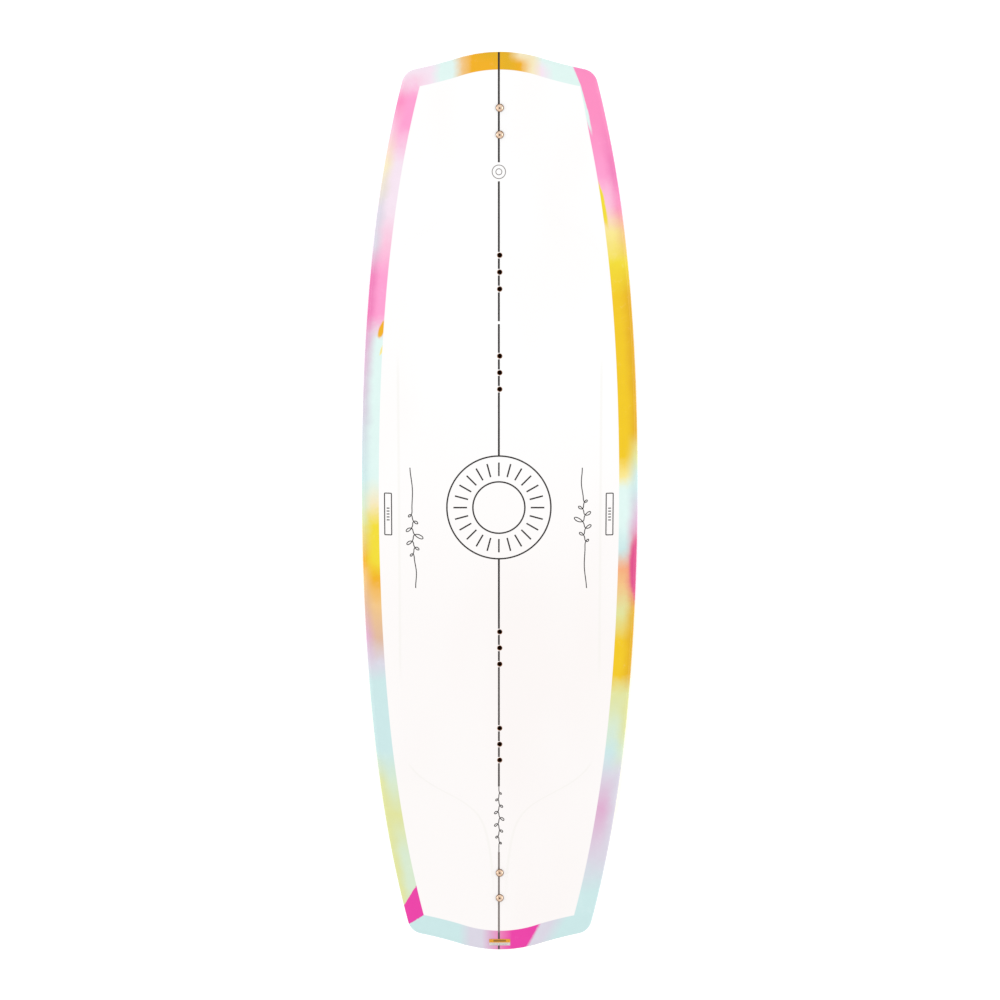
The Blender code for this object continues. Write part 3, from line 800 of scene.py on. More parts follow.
def dyed_and_shaded_along(finish, position, half_range, across, chart):
    """Colour of a dye chart, from the inner tints to the outer ones across the band; the outer tints
    hold painted shade of the rounded shoulder as well as dye.
    """
    factor = position * (0.5 / half_range) + 0.5
    bands = []
    for side in (0, -1):
        stops = []
        for station, tints in chart:
            place = 0.5 + 0.0005 * station / half_range
            stops.append((place, border_dye(tints.split()[side])))
        bands.append(finish.ramp(factor, *stops))
    # the outer tints carry painted shade of the rounded shoulder as well as the dyes' own colours
    return finish.mix(bands[0], bands[1], across.rise(OUTER_SHADED_TINT_START, 1.0))


def band_reach(finish):
    """How far in from its inner edge a point of the dyed band lies, as a share of its width.

    One value counts from the side edges and one from the ends; both are below 0 on the
    white and above 1 outside the board. The band's width differs a little round the board.
    """
    x, y = finish.x, finish.y
    along = y * y * (1.0 / HALF_LENGTH ** 2)
    side = HALF_WIDTH - SIDE_DROP_2 * along - SIDE_DROP_4 * along * along
    right = x.rise(-ACROSS, ACROSS)
    width = BAND_LEFT + right * (BAND_RIGHT - BAND_LEFT - y.rise(0.56, 0.66) * BAND_TAPER)
    from_side = (abs(x) - side) / (width * (along * along * 0.05 + 1.0)) + 1.0
    near = abs(x).maths("MINIMUM", NOSE_REACH)
    past = (abs(x) - NOSE_REACH).maths("MAXIMUM", 0.0)
    drop = NOSE_RADIUS - (NOSE_RADIUS ** 2 - near * near).maths("SQRT")
    drop = drop + past * NOSE_SLOPE - past * past * (0.5 / WING_RADIUS)
    lean = near * (1.0 / NOSE_RADIUS) - past * (1.0 / WING_RADIUS)
    width = y.rise(-ACROSS, ACROSS) * (BAND_TIP - BAND_TAIL) + BAND_TAIL
    from_end = (abs(y) - HALF_LENGTH + drop) / (width * (lean * lean * 0.5 + 1.0)) + 1.0
    return from_side, from_end


def at_ends(finish, bleed, ragged):
    """1 where the ends' dyes lie and 0 where the sides' do; each corner has its own edge."""
    past_side = abs(finish.x) - CORNER_X + 0.002
    past_end = abs(finish.y) - CORNER_Y + finish.y.rise(ACROSS, -ACROSS) * 0.005
    tip_left = (past_end - TIP_LEFT_SLOPE * past_side + bleed * 0.02).rise(-BLURRED, BLURRED)
    tip_right = (ragged - past_side - TIP_RIGHT_SLOPE * past_end).rise(-CLEAN, CLEAN)
    tip_right = tip_right * past_end.rise(-0.003, -0.001)
    tail_left = (past_end - TAIL_LEFT_SLOPE * past_side + ragged).rise(-CLEAN, CLEAN)
    tail_right = (past_end - past_side).rise(-0.004, 0.004)
    right = finish.x.rise(-ACROSS, ACROSS)
    at_tip = tip_left + (tip_right - tip_left) * right
    at_tail = tail_left + (tail_right - tail_left) * right
    return at_tail + (at_tip - at_tail) * finish.y.rise(-ACROSS, ACROSS)


def border_colour(finish, from_side, from_end):
    """Tie-dye round the board: cloudy colours that bleed into each other."""
    x, y = finish.x, finish.y
    bleed = finish.noise(34.0, 3.0, 0.6) - 0.5
    feather = finish.noise(210.0, 2.0, 0.6) - 0.5
    wander = bleed * BLEED + feather * FEATHER
    side_share = from_side + bleed * BLEED_ACROSS
    end_share = from_end + bleed * BLEED_ACROSS

    sides = {"left": dyed_and_shaded_along(finish, y + wander, HALF_LENGTH, side_share, LEFT_EDGE_DYE)}
    wedge = y + from_side * WEDGE_SKEW + feather * 0.004
    sides["left"] = finish.mix(sides["left"], border_dye("magenta"),
                               wedge.rise(WEDGE_TOP + CLEAN, WEDGE_TOP - CLEAN))
    sides["right"] = dyed_and_shaded_along(finish, y + wander, HALF_LENGTH, side_share, RIGHT_EDGE_DYE)
    for side, y_middle, half_length, share, half_share, tint in DYE_FLECKS:
        off_y = (y + feather * 0.004 - y_middle) * (1.0 / half_length)
        off_x = (from_side + off_y * 0.15 + bleed * 0.15 - share) * (1.0 / half_share)
        fleck = (off_y * off_y + off_x * off_x).rise(1.0, 0.35)
        sides[side] = finish.mix(sides[side], border_dye(tint), fleck)
    long_sides = finish.mix(sides["left"], sides["right"], x.rise(-ACROSS, ACROSS))

    tip = dyed_and_shaded_along(finish, x + wander * 0.6, END_RANGE, end_share, TIP_EDGE_DYE)
    slant = x + from_end * TAIL_SKEW * x.rise(0.015, 0.030) + feather * 0.003
    tail = dyed_and_shaded_along(finish, slant, END_RANGE, end_share, TAIL_EDGE_DYE)
    ends = finish.mix(tail, tip, y.rise(-ACROSS, ACROSS))
    colour = finish.mix(long_sides, ends, at_ends(finish, bleed, feather * 0.003))

    clouds = finish.noise(60.0, 4.0, 0.65)
    colour = finish.mix(colour, border_dye("ffffff"), clouds.rise(0.58, 0.85) * 0.10)
    fibres = finish.noise((900.0, 260.0, 900.0))
    shade = clouds * 0.06 + fibres * 0.035 + 0.95
    tone = finish.add("ShaderNodeCombineColor", None, {0: shade, 1: shade, 2: shade})
    return finish.mix(colour, tone, 1.0, "MULTIPLY")


def deck_colour(finish):
    """White with a faint warm cast to the tail, and a thin line of painted shade along the tail's
    creases.
    """
    x, y = finish.x, finish.y
    haze = finish.noise((5.0, 2.2, 5.0))
    warm = y.rise(0.30, -0.25) * 0.75 + haze.rise(0.45, 0.75) * 0.35
    colour = finish.mix(DECK_COOL, DECK_WARM, warm)
    fade = 1.0 / (((abs(y) - PLATEAU_END) * (1.0 / PLATEAU_FADE)).maths("EXPONENT") + 1.0)
    crease = fade * (PLATEAU_HALF_WIDTH - SPINE_HALF_WIDTH) + SPINE_HALF_WIDTH
    crease = crease + abs(y).rise(0.60, 0.47) * abs(y).rise(0.40, 0.45) * 0.010
    # painted shade: a thin darker line along the creases, where shade falls in them
    crease_shade = abs(abs(x) - crease).rise(0.0030, 0.0006) * y.rise(-0.62, -0.55)
    plain = abs(y).rise(0.22, 0.28) * y.rise(-0.41, -0.39)
    return finish.mix(colour, DECK_CREASE_SHADE, crease_shade * (1.0 - plain) * y.rise(0.26, 0.20) * 0.35)


def make_top_print():
    """The printed top sheet: white deck, dyed band, one clear gloss over both."""
    finish = Finish("top_print", Coat_Weight=0.18, Coat_Roughness=0.08, Specular_IOR_Level=0.25)
    from_side, from_end = band_reach(finish)
    band = from_side.maths("MAXIMUM", from_end).rise(-BAND_EDGE, BAND_EDGE)
    colour = finish.mix(deck_colour(finish), border_colour(finish, from_side, from_end), band)
    roughness = finish.noise(7.0) * 0.10 + finish.noise(900.0) * 0.05 + band * 0.04 + 0.14
    return finish.made_of(colour, roughness, finish.noise(260.0), 0.04, 0.0003)


def make_dyed_rail():
    """The rail's outside: the same dyes with the painted shade of their outer tints, in a slightly
    duller and scuffed skin.
    """
    finish = Finish("dyed_rail", Coat_Weight=0.2, Coat_Roughness=0.12, Specular_IOR_Level=0.4)
    scuffs = finish.noise((160.0, 40.0, 900.0), 3.0)
    colour = border_colour(finish, *band_reach(finish))
    colour = finish.mix(colour, dye("d9dcdc"), scuffs.rise(0.66, 0.80) * 0.3)
    return finish.made_of(colour, scuffs * 0.16 + 0.18, scuffs, 0.06, 0.0003)


# ---- other finishes -------------------------------------------------------------------
def make_dyed_base():
    """The running base: broad clouds of the same dyes, with fine lengthwise wear."""
    finish = Finish("dyed_base", Coat_Weight=0.25, Coat_Roughness=0.15)
    swirl = finish.noise((5.5, 2.6, 5.5), 4.0, 0.62)
    second = finish.noise((9.1, 5.2, 9.1), 3.0, 0.55)
    names = ("aqua", "ice", "pear", "lemon", "peach", "blush", "pink", "lilac", "ice")
    stops = [(0.05 + 0.1 * step, border_dye(name)) for step, name in enumerate(names)]
    colour = finish.ramp(finish.y * 0.55 + swirl * 1.25 - 0.12, *stops)
    colour = finish.mix(colour, border_dye("magenta"), second.rise(0.64, 0.76) * 0.75)
    colour = finish.mix(colour, border_dye("sunflower"), second.rise(0.36, 0.27) * 0.7)
    colour = finish.mix(colour, border_dye("ffffff"), swirl.rise(0.50, 0.40) * 0.35)
    scuffs = finish.noise((620.0, 9.0, 620.0))
    colour = finish.mix(colour, dye("d5d8da"), scuffs.rise(0.68, 0.80) * 0.25)
    return finish.made_of(colour, scuffs * 0.16 + 0.18, scuffs, 0.06, 0.0002)


def make_ink(name, colour, faded):
    """Screen-printed ink: near black at the tip, a little greyer towards the tail."""
    finish = Finish(name, Specular_IOR_Level=0.25)
    y = finish.y
    patchy = finish.noise(500.0, 3.0)
    tone = y.rise(-0.10, -0.32) * 0.32 + y.rise(-0.43, -0.47) * y.rise(-0.665, -0.660) * 0.68
    return finish.made_of(finish.mix(colour, faded, tone + patchy * 0.2 - 0.1),
                          patchy * 0.15 + 0.28)


def make_copper():
    """Copper-coloured inserts: a worn rim, and painted shade that darkens the bore."""
    finish = Finish("insert_copper", Metallic=1.0)
    reach, depth = finish.parts(finish.add("ShaderNodeUVMap", {"uv_map": TURNED_MAP}))
    stain = finish.noise(700.0, 3.0)
    rim = finish.mix(dye("b47a52"), dye("7d4d31"), stain.rise(0.35, 0.65))
    # painted shade: deep in the bore the colour goes near black, and the surface rougher
    inside = depth.rise(0.03, 0.10) * reach.rise(0.80, 0.74)
    return finish.made_of(finish.mix(rim, dye("2b1a12"), inside),
                          stain * 0.2 + inside * 0.3 + 0.22,
                          finish.noise((1500.0, 1500.0, 300.0)), 0.1, 0.0002)


def make_rose_gold():
    """Plated screw heads: polished domes, with painted shade that darkens the rim and the recess."""
    finish = Finish("rose_gold", Metallic=1.0)
    reach, _ = finish.parts(finish.add("ShaderNodeUVMap", {"uv_map": TURNED_MAP}))
    haze = finish.noise(320.0, 3.0)
    fine = finish.noise(2600.0)
    colour = finish.mix(dye("ecd2bb"), dye("cfa582"), haze.rise(0.4, 0.75))
    # painted shade: the dome darkens towards its rim, where it turns down
    colour = finish.mix(colour, dye("7c5638"), reach.rise(1.05, 1.26))
    # painted shade: the middle of the head, in the recess, goes near black
    colour = finish.mix(colour, dye("2e1c13"), reach.rise(0.06, 0.02))
    return finish.made_of(colour, fine * 0.12 + haze * 0.08 + 0.08, fine, 0.05, 0.0001)


def make_nylon():
    """Glass-filled nylon of the fins: near black, finely speckled, slightly orange-peeled."""
    finish = Finish("fin_nylon", Specular_IOR_Level=0.45)
    speckle = finish.noise((2200.0, 700.0, 2200.0))
    cloud = finish.noise(90.0, 3.0)
    colour = finish.mix((0.020, 0.020, 0.022, 1.0), (0.045, 0.046, 0.050, 1.0), cloud)
    colour = finish.mix(colour, (0.16, 0.16, 0.17, 1.0), speckle.rise(0.68, 0.78) * 0.5)
    return finish.made_of(colour, cloud * 0.14 + speckle * 0.12 + 0.32, speckle, 0.12, 0.0002)


def make_foil():
    """Two-tone foil label: amber to the tip with a plain bar, silver to the tail with ticks."""
    finish = Finish("label_foil", Coat_Weight=0.4, Coat_Roughness=0.1)
    x, y = finish.x, finish.y
    to_tail = (0.0 - y - LABEL_SPLIT).rise(-0.0001, 0.0001)
    crinkle = finish.noise(800.0, 3.0)
    amber = finish.mix(dye("e8a21c"), dye("b9770e"), crinkle.rise(0.45, 0.75))
    silver = finish.mix(dye("d9d3cf"), dye("b5aeab"), crinkle.rise(0.45, 0.75))
    bar = abs(y + LABEL_BAR_Y).rise(0.0016, 0.0013) * abs(x).rise(0.0100, 0.0098)
    amber = finish.mix(amber, dye("6d4a1c"), bar * 0.75)
    ticks = finish.bands("X", 180.0).rise(0.55, 0.8) * abs(x).rise(0.0130, 0.0128)
    silver = finish.mix(silver, dye("8f8987"), ticks * 0.5)
    finish.feed("Metallic", 0.55 - to_tail * 0.15)
    return finish.made_of(finish.mix(amber, silver, to_tail), crinkle * 0.2 + 0.25,
                          crinkle, 0.08, 0.0002)


def make_glass_cloth():
    """Woven glass in cured resin."""
    finish = Finish("glass_cloth", Coat_Weight=0.3, Coat_Roughness=0.2)
    weave = finish.bands("X", 160.0).maths("MAXIMUM", finish.bands("Y", 160.0))
    resin = finish.noise(25.0, 3.0)
    colour = finish.mix(dye("b9bd9c"), dye("dcdcc4"), weave)
    colour = finish.mix(colour, dye("9ea383"), resin.rise(0.5, 0.8) * 0.5)
    return finish.made_of(colour, weave * 0.15 + 0.30, weave, 0.2, 0.0003)


def make_foam():
    """Closed-cell foam, sawn: small round cells."""
    finish = Finish("core_foam")
    cells = finish.add("ShaderNodeTexVoronoi", {"feature": "F1"}, {
        "Vector": finish.spot, "Scale": 900.0})
    colour = finish.mix(dye("e8dcae"), dye("d9c88f"), finish.noise(14.0))
    colour = finish.mix(colour, dye("b5a268"), cells.rise(0.45, 0.8) * 0.6)
    return finish.made_of(colour, cells * 0.1 + 0.85, cells, 0.4, 0.0004)


def make_stringer_wood():
    """Sawn light wood with its grain along the board."""
    finish = Finish("stringer_wood")
    grain = finish.noise((420.0, 9.0, 420.0), 4.0, 0.6)
    pores = finish.noise((2600.0, 60.0, 2600.0))
    colour = finish.ramp(grain, (0.3, dye("c99a63")), (0.5, dye("b07f4b")), (0.7, dye("8f6237")))
    colour = finish.mix(colour, dye("5f3f22"), pores.rise(0.62, 0.75) * 0.5)
    return finish.made_of(colour, grain * 0.2 + 0.55, grain, 0.15, 0.0003)


def make_pressed_block():
    """Resin-bonded fibreboard: matted dark fibres."""
    finish = Finish("pressed_block")
    fibres = finish.noise((260.0, 700.0, 500.0), 5.0, 0.7)
    colour = finish.ramp(fibres, (0.3, dye("4a3d2f")), (0.55, dye("6b5a46")), (0.75, dye("8a775d")))
    return finish.made_of(colour, fibres * 0.2 + 0.6, fibres, 0.2, 0.0003)


def make_turned_brass():
    """Turned brass with fine tool lines."""
    finish = Finish("turned_brass", Metallic=1.0)
    lines = finish.noise((300.0, 300.0, 6000.0))
    return finish.made_of(finish.mix(dye("d2a559"), dye("b5853c"), lines),
                          lines * 0.2 + 0.22, lines, 0.1, 0.0002)


# ---- node trees that place and draw ---------------------------------------------------
def new_geometry_tree(name, *inputs):
    """A geometry tree with named inputs; returns it and a wire for each input."""
    group = bpy.data.node_groups.new(name, "GeometryNodeTree")
    group.interface.new_socket("Geometry", in_out="INPUT", socket_type="NodeSocketGeometry")
    for label, kind in inputs:
        group.interface.new_socket(label, in_out="INPUT", socket_type="NodeSocket" + kind)
    group.interface.new_socket("Geometry", in_out="OUTPUT", socket_type="NodeSocketGeometry")
    tree = Tree(group)
    entry = tree.add("NodeGroupInput")
    wires = [Wire(tree, socket) for socket in entry.socket.node.outputs[:-1]]
    return group, tree, wires


def close_tree(tree, geometry, finish):
    """Realize Instances, Set Material, and out."""
    plain = tree.add("GeometryNodeRealizeInstances", None, {0: geometry})
    painted = tree.add("GeometryNodeSetMaterial", None, {"Geometry": plain, "Material": finish})
    exit_node = tree.tree.nodes.new("NodeGroupOutput")
    tree.tree.links.new(painted.socket, exit_node.inputs[0])


def seating_tree():
    """Sets a copy of one piece on every point, leaned to the slope kept at that point."""
    group, tree, (points, copy, finish) = new_geometry_tree(
        "seat_copies", ("Copy", "Object"), ("Finish", "Material"))
    lean = tree.add("GeometryNodeInputNamedAttribute", {"data_type": "FLOAT"}, {"Name": "lean"})
    turn = tree.add("ShaderNodeCombineXYZ", None, {"X": lean})
    turn = tree.add("FunctionNodeEulerToRotation", None, {0: turn})
    shape = tree.add("GeometryNodeObjectInfo", None, {"Object": copy}, out="Geometry")
    seated = tree.add("GeometryNodeInstanceOnPoints", None, {
        "Points": points, "Instance": shape, "Rotation": turn})
    close_tree(tree, seated, finish)
    return group


def stroke_tree():
    """Draws every edge of a mesh as a flat printed stroke."""
    group, tree, (paths, width, thickness, finish) = new_geometry_tree(
        "printed_strokes", ("Width", "Float"), ("Thickness", "Float"), ("Finish", "Material"))
    curve = tree.add("GeometryNodeMeshToCurve", None, {"Mesh": paths})
    curve = tree.add("GeometryNodeSetCurveNormal", {"mode": "Z_UP"}, {"Curve": curve})
    nib = tree.add("GeometryNodeCurvePrimitiveQuadrilateral", {"mode": "RECTANGLE"}, {
        "Width": width, "Height": thickness})
    drawn = tree.add("GeometryNodeCurveToMesh", None, {
        "Curve": curve, "Profile Curve": nib, "Fill Caps": True})
    close_tree(tree, drawn, finish)
    return group


def ray_tree():
    """A ring of short bars that point at its middle."""
    group, tree, wires = new_geometry_tree(
        "ring_of_rays", ("Rays", "Int"), ("Inner Radius", "Float"), ("Outer Radius", "Float"),
        ("Width", "Float"), ("Thickness", "Float"), ("Middle", "Vector"), ("Finish", "Material"))
    _, rays, inner, outer, width, thickness, middle, finish = wires
    ring = tree.add("GeometryNodeMeshCircle", {"fill_type": "NONE"}, {
        "Vertices": rays, "Radius": (inner + outer) * 0.5})
    index = tree.add("GeometryNodeInputIndex")
    turn = tree.add("ShaderNodeCombineXYZ", None, {"Z": index * (2 * math.pi) / rays})
    turn = tree.add("FunctionNodeEulerToRotation", None, {0: turn})
    size = tree.add("ShaderNodeCombineXYZ", None, {
        "X": outer - inner, "Y": width, "Z": thickness})
    bar = tree.add("GeometryNodeMeshCube", None, {"Size": size})
    placed = tree.add("GeometryNodeInstanceOnPoints", None, {
        "Points": ring, "Instance": bar, "Rotation": turn})
    moved = tree.add("GeometryNodeTransform", None, {"Geometry": placed, "Translation": middle})
    close_tree(tree, moved, finish)
    return group


def drawn_by(group, name, source, sizes):
    """Runs a geometry tree on a source mesh and returns the plain mesh that it makes."""
    holder = add_object(name, source)
    modifier = holder.modifiers.new(name, "NODES")
    modifier.node_group = group
    for item in group.interface.items_tree:
        if item.in_out == "INPUT" and item.name in sizes:
            modifier[item.identifier] = sizes[item.name]
    holder.update_tag()
    return evaluated_mesh(holder)


def ride_and_replace(piece, slot, *nodes):
    if nodes:
        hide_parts(*nodes)
    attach(piece, BODY)
    return piece


# ---- the board's skins ----------------------------------------------------------------
def wrapped_sheet(name, plan, top, bottom, loops, finish):
    """A closed sheet: a grid on each face, and loops round its edge from top to bottom."""
    rim = rim_of(plan)
    mesh = bmesh.new()
    rings = [filled_line(mesh, plan, top, True, rim)]
    rings += [ring_of(mesh, loop) for loop in loops(rim)]
    rings.append(filled_line(mesh, plan, bottom, False, rim))
    bridge_all(mesh, rings)
    return add_object(name, finished_mesh(mesh, name), finish)


def with_holes(sheet, insert_hole, screw_hole):
    """The same sheet bored for the inserts and the fin screws."""
    tools = []
    for places, radius in ((insert_places(), insert_hole), (fin_screw_places(), screw_hole)):
        rod = turned_mesh("rod", [(0.0, HOLE_REACH), (radius, HOLE_REACH),
                                  (radius, -HOLE_REACH), (0.0, -HOLE_REACH)], 40)
        tools += [(rod, on_deck(y)) for _, y in places]
    name = sheet.name
    return add_object(name, cut_by(sheet, cutter_of("holes", tools)))


def make_top_sheet(top_print):
    """The printed top sheet, wrapped over the shoulder."""
    def loops(rim):
        made = [level_loop(rim, share * SHOULDER_LINE, deck_z) for share in (0.3, 0.7)]
        made += [shoulder_loop(rim, turn, 0.0) for turn in SHOULDER_TURNS]
        made += [shoulder_loop(rim, turn, TOP_SHEET) for turn in reversed(SHOULDER_TURNS)]
        return made

    sheet = wrapped_sheet("printed_top_sheet", plan_grid(DECK_COLUMNS, crease_lane), deck_z,
                          above(deck_z, -TOP_SHEET), loops, top_print)
    sheet = with_holes(sheet, COLLAR_RADIUS + 0.0001, SCREW_RADIUS + 0.0001)
    return ride_and_replace(sheet, "top_sheet", "top_sheet")


def make_base_sheet(base_dye):
    """Base sheet with the channels moulded into it."""
    top = above(base_z, BASE_SHEET)

    def loops(rim):
        edge = BORDER - BASE_INSET
        return [level_loop(rim, edge, top), level_loop(rim, edge, base_z)]

    sheet = wrapped_sheet("dyed_base_sheet", plan_grid(BASE_COLUMNS, even_lane), top, base_z,
                          loops, base_dye)
    return ride_and_replace(sheet, "base_sheet", "base_sheet")


def make_laminates(cloth):
    """The two glass laminates, just inside the base sheet and the top sheet."""
    for name, columns, lane, surface, low, high in (
            ("glass_base_laminate", BASE_COLUMNS, even_lane, base_z,
             BASE_SHEET + GAP, BASE_SHEET + GAP + BASE_LAMINATE),
            ("glass_deck_laminate", DECK_COLUMNS, crease_lane, deck_z,
             -TOP_SHEET - GAP - DECK_LAMINATE, -TOP_SHEET - GAP)):
        top, bottom = above(surface, high), above(surface, low)

        def loops(rim):
            return [level_loop(rim, CORE_LINE, top), level_loop(rim, CORE_LINE, bottom)]

        sheet = wrapped_sheet(name, plan_grid(columns, lane), top, bottom, loops, cloth)
        if surface is deck_z:
            sheet = with_holes(sheet, INSERT_HOLE, SCREW_HOLE)
        ride_and_replace(sheet, "glass_laminate", name.replace("glass_", "", 1))


def make_rail(border):
    """The sidewall round the core, with a rounded foot beside the base sheet."""
    rim = rim_of(plan_grid(DECK_COLUMNS, crease_lane))
    seat = BASE_SHEET + GAP
    skin = TOP_SHEET + GAP
    low = above(lambda x, y: rocker(y), RAIL_FOOT)
    step = BORDER - BASE_INSET + GAP
    loops = [level_loop(rim, BORDER - RAIL_WIDTH, above(base_z, seat)),
             level_loop(rim, BORDER - RAIL_WIDTH, above(deck_z, -skin))]
    loops += [shoulder_loop(rim, turn, skin) for turn in SHOULDER_TURNS]
    loops += [level_loop(rim, BORDER - skin, above(low, EDGE_HEIGHT - GAP - RAIL_FOOT)),
              level_loop(rim, BORDER, above(low, EDGE_HEIGHT - GAP - RAIL_FOOT)),
              level_loop(rim, BORDER, low)]
    for degrees in (25.0, 50.0, 75.0):
        turn = math.radians(degrees)
        down = (RAIL_FOOT - GAP) * math.sin(turn)
        loops.append(level_loop(rim, BORDER - RAIL_CHAMFER * (1.0 - math.cos(turn)),
                                above(low, -down)))
    loops += [level_loop(rim, step, above(low, -RAIL_FOOT)),
              level_loop(rim, step, above(low, seat - RAIL_FOOT))]
    mesh = bmesh.new()
    rings = [ring_of(mesh, loop) for loop in loops]
    bridge_all(mesh, rings + rings[:1])
    piece = add_object("dyed_rail", finished_mesh(mesh, "dyed_rail"), border)
    return ride_and_replace(piece, "rail", "rail")


# ---- hardware -------------------------------------------------------------------------
def seat_points(name, places, lift):
    """A point for every place on the centreline, which keeps the deck's lean there."""
    data = bpy.data.meshes.new(name)
    spots = []
    leans = []
    for y in places:
        spots.append(on_deck(y, lift).to_translation())
        leans.append(math.atan(slope_of(ridge_z, y)))
    data.from_pydata(spots, [], [])
    data.attributes.new("lean", "FLOAT", "POINT").data.foreach_set("value", leans)
    return data


def seat_copies(name, pattern, places, lift, finish, slot):
    """Copies of one mesh at every place on the centreline, as one piece."""
    single = add_object("pattern", pattern)
    seats = seat_points(name + "_seats", [y for _, y in places], lift)
    data = drawn_by(SEATING, name, seats, {"Copy": single, "Finish": finish})
    bpy.data.objects.remove(single)
    return ride_and_replace(add_object(name, data), slot, *[node for node, _ in places])


def make_inserts(copper):
    """Twelve threaded inserts, their threads cut by a spiral ripple in the bore."""
    rings = 5 * round(INSERT_BORE_DEPTH / THREAD_PITCH)
    bore = [(0.0, -INSERT_BORE_DEPTH)]
    for ring in range(rings + 1):
        up = THREAD_START + (INSERT_BORE_DEPTH - THREAD_START - THREAD_END) * ring / rings
        bore.append((INSERT_BORE, up - INSERT_BORE_DEPTH))
    rim = [(0.00295, -0.0008), (0.00345, -0.0001), (0.0036, 0.0), (COLLAR_RADIUS - 0.0001, 0.0),
           (COLLAR_RADIUS, -0.0001), (COLLAR_RADIUS, -0.0010), (INSERT_RADIUS, -0.00115)]
    outside = [(INSERT_RADIUS, -INSERT_LENGTH), (0.0, -INSERT_LENGTH)]

    def thread(angle, radius, height):
        if radius != INSERT_BORE:
            return 0.0
        turn = (height / THREAD_PITCH - angle / (2 * math.pi)) % 1.0
        return THREAD_DEPTH * (1.0 - abs(2.0 * turn - 1.0))

    turned = turned_mesh("insert_pattern", bore + rim + outside, 32, thread)
    return seat_copies("threaded_inserts", turned, insert_places(), 0.0, copper, "brass")


def cross_cutter(name):
    """A cross that narrows as it goes down, for the recess in a screw's head."""
    mesh = bmesh.new()
    top = 2 * SCREW_HEAD_HEIGHT
    floor = SCREW_HEAD_HEIGHT - RECESS_DEPTH
    outline = []
    narrow = 0.8 * RECESS_HALF_WIDTH
    arm = ((RECESS_HALF_WIDTH, -RECESS_HALF_WIDTH), (RECESS_REACH, -narrow),
           (1.06 * RECESS_REACH, 0.0), (RECESS_REACH, narrow))
    for quarter in range(4):
        turn = Matrix.Rotation(quarter * math.pi / 2, 3, "Z")
        outline += [turn @ Vector((x, y, 0.0)) for x, y in arm]
    low = ring_of(mesh, [(RECESS_TAPER * spot.x, RECESS_TAPER * spot.y, floor) for spot in outline])
    high = ring_of(mesh, [(spot.x, spot.y, top) for spot in outline])
    bridge(mesh, low, high)
    mesh.faces.new(high)
    mesh.faces.new(reversed(low))
    bmesh.ops.recalc_face_normals(mesh, faces=mesh.faces)
    return finished_mesh(mesh, name)


def make_fin_screws(rose_gold):
    """Four domed screws with one length of shank, set by the thinnest seat."""
    places = fin_screw_places()
    depths = []
    for _, y in places:
        depths.append((ridge_z(y) - rocker(y)) * math.cos(math.atan(slope_of(ridge_z, y))))
    reach = min(depths) + SCREW_INTO_FIN
    head = [(0.0, SCREW_HEAD_HEIGHT)]
    for step in range(1, 13):
        turn = math.radians(90.0 - DOME_STEP * step)
        head.append((SCREW_HEAD_RADIUS * math.cos(turn), SCREW_HEAD_HEIGHT * math.sin(turn)))
    head += [(SCREW_HEAD_RADIUS, 0.0003), (SCREW_HEAD_RADIUS - 0.0002, 0.0)]
    shank = [(SCREW_RADIUS, 0.0), (SCREW_RADIUS, 0.0006 - reach), (SCREW_RADIUS - 0.0006, -reach),
             (0.0, -reach)]
    blank = add_object("screw_blank", turned_mesh("screw_blank", head + shank, 48))
    recess = cutter_of("recess", [(cross_cutter("recess"), Matrix.Identity(4))])
    return seat_copies("fin_screws", cut_by(blank, recess), places, SCREW_SEAT, rose_gold, "screw")


def fin_ring(mesh, share, y):
    """One upright section of a fin at y, share of its length from its tail end."""
    fullness = math.sqrt(max(0.0, 4 * share * (1 - share)))
    half = FIN_END_HALF_THICKNESS + (FIN_HALF_THICKNESS - FIN_END_HALF_THICKNESS) * fullness
    depth = FIN_END_DEPTH + (FIN_DEPTH - FIN_END_DEPTH) * fullness ** FIN_RAKE
    points = []
    for step in range(FIN_TURNS + 1):
        turn = math.pi * step / FIN_TURNS
        down = math.sin(turn) ** FIN_EDGE_FULLNESS
        points.append((half * math.cos(turn), y, rocker(y) - GAP - depth * down))
    return ring_of(mesh, points)


def make_fins(nylon):
    """The two centre fins under the board's ends, with closer sections at their own ends."""
    mesh = bmesh.new()
    for sign in (1.0, -1.0):
        rings = []
        for step in range(FIN_SECTIONS + 1):
            share = 0.5 - 0.5 * math.cos(math.pi * step / FIN_SECTIONS)
            rings.append(fin_ring(mesh, share, sign * FIN_OFFSET + FIN_LENGTH * (share - 0.5)))
        bridge_all(mesh, rings)
        mesh.faces.new(rings[0])
        mesh.faces.new(reversed(rings[-1]))
    return ride_and_replace(outward_piece(mesh, "centre_fins", 40.0, nylon), "fin",
                            "fin_tip", "fin_tail")


def make_label(foil):
    """A plain foil label with rounded corners, curved to the deck, its rim slightly lower."""
    mesh = bmesh.new()
    middle_y = -(LABEL_START + LABEL_END) / 2
    half_x, half_y = LABEL_WIDTH / 2, (LABEL_END - LABEL_START) / 2
    rings = []
    for inset, lift in ((0.0, GAP), (0.0, GAP + LABEL_RIM * LABEL_THICKNESS),
                        (LABEL_BEVEL, GAP + LABEL_THICKNESS)):
        outline = rounded_outline(0.0, middle_y, half_x - inset, half_y - inset,
                                  LABEL_CORNER - 0.5 * inset, 6)
        outline = divided(outline, 0.002)
        rings.append(ring_of(mesh, [(x, y, deck_z(x, y) + lift) for x, y in outline]))
    bridge_all(mesh, rings)
    cap(mesh, rings[-1])
    cap(mesh, rings[0])
    return ride_and_replace(outward_piece(mesh, "foil_label", 25.0, foil), "label", "tail_label")


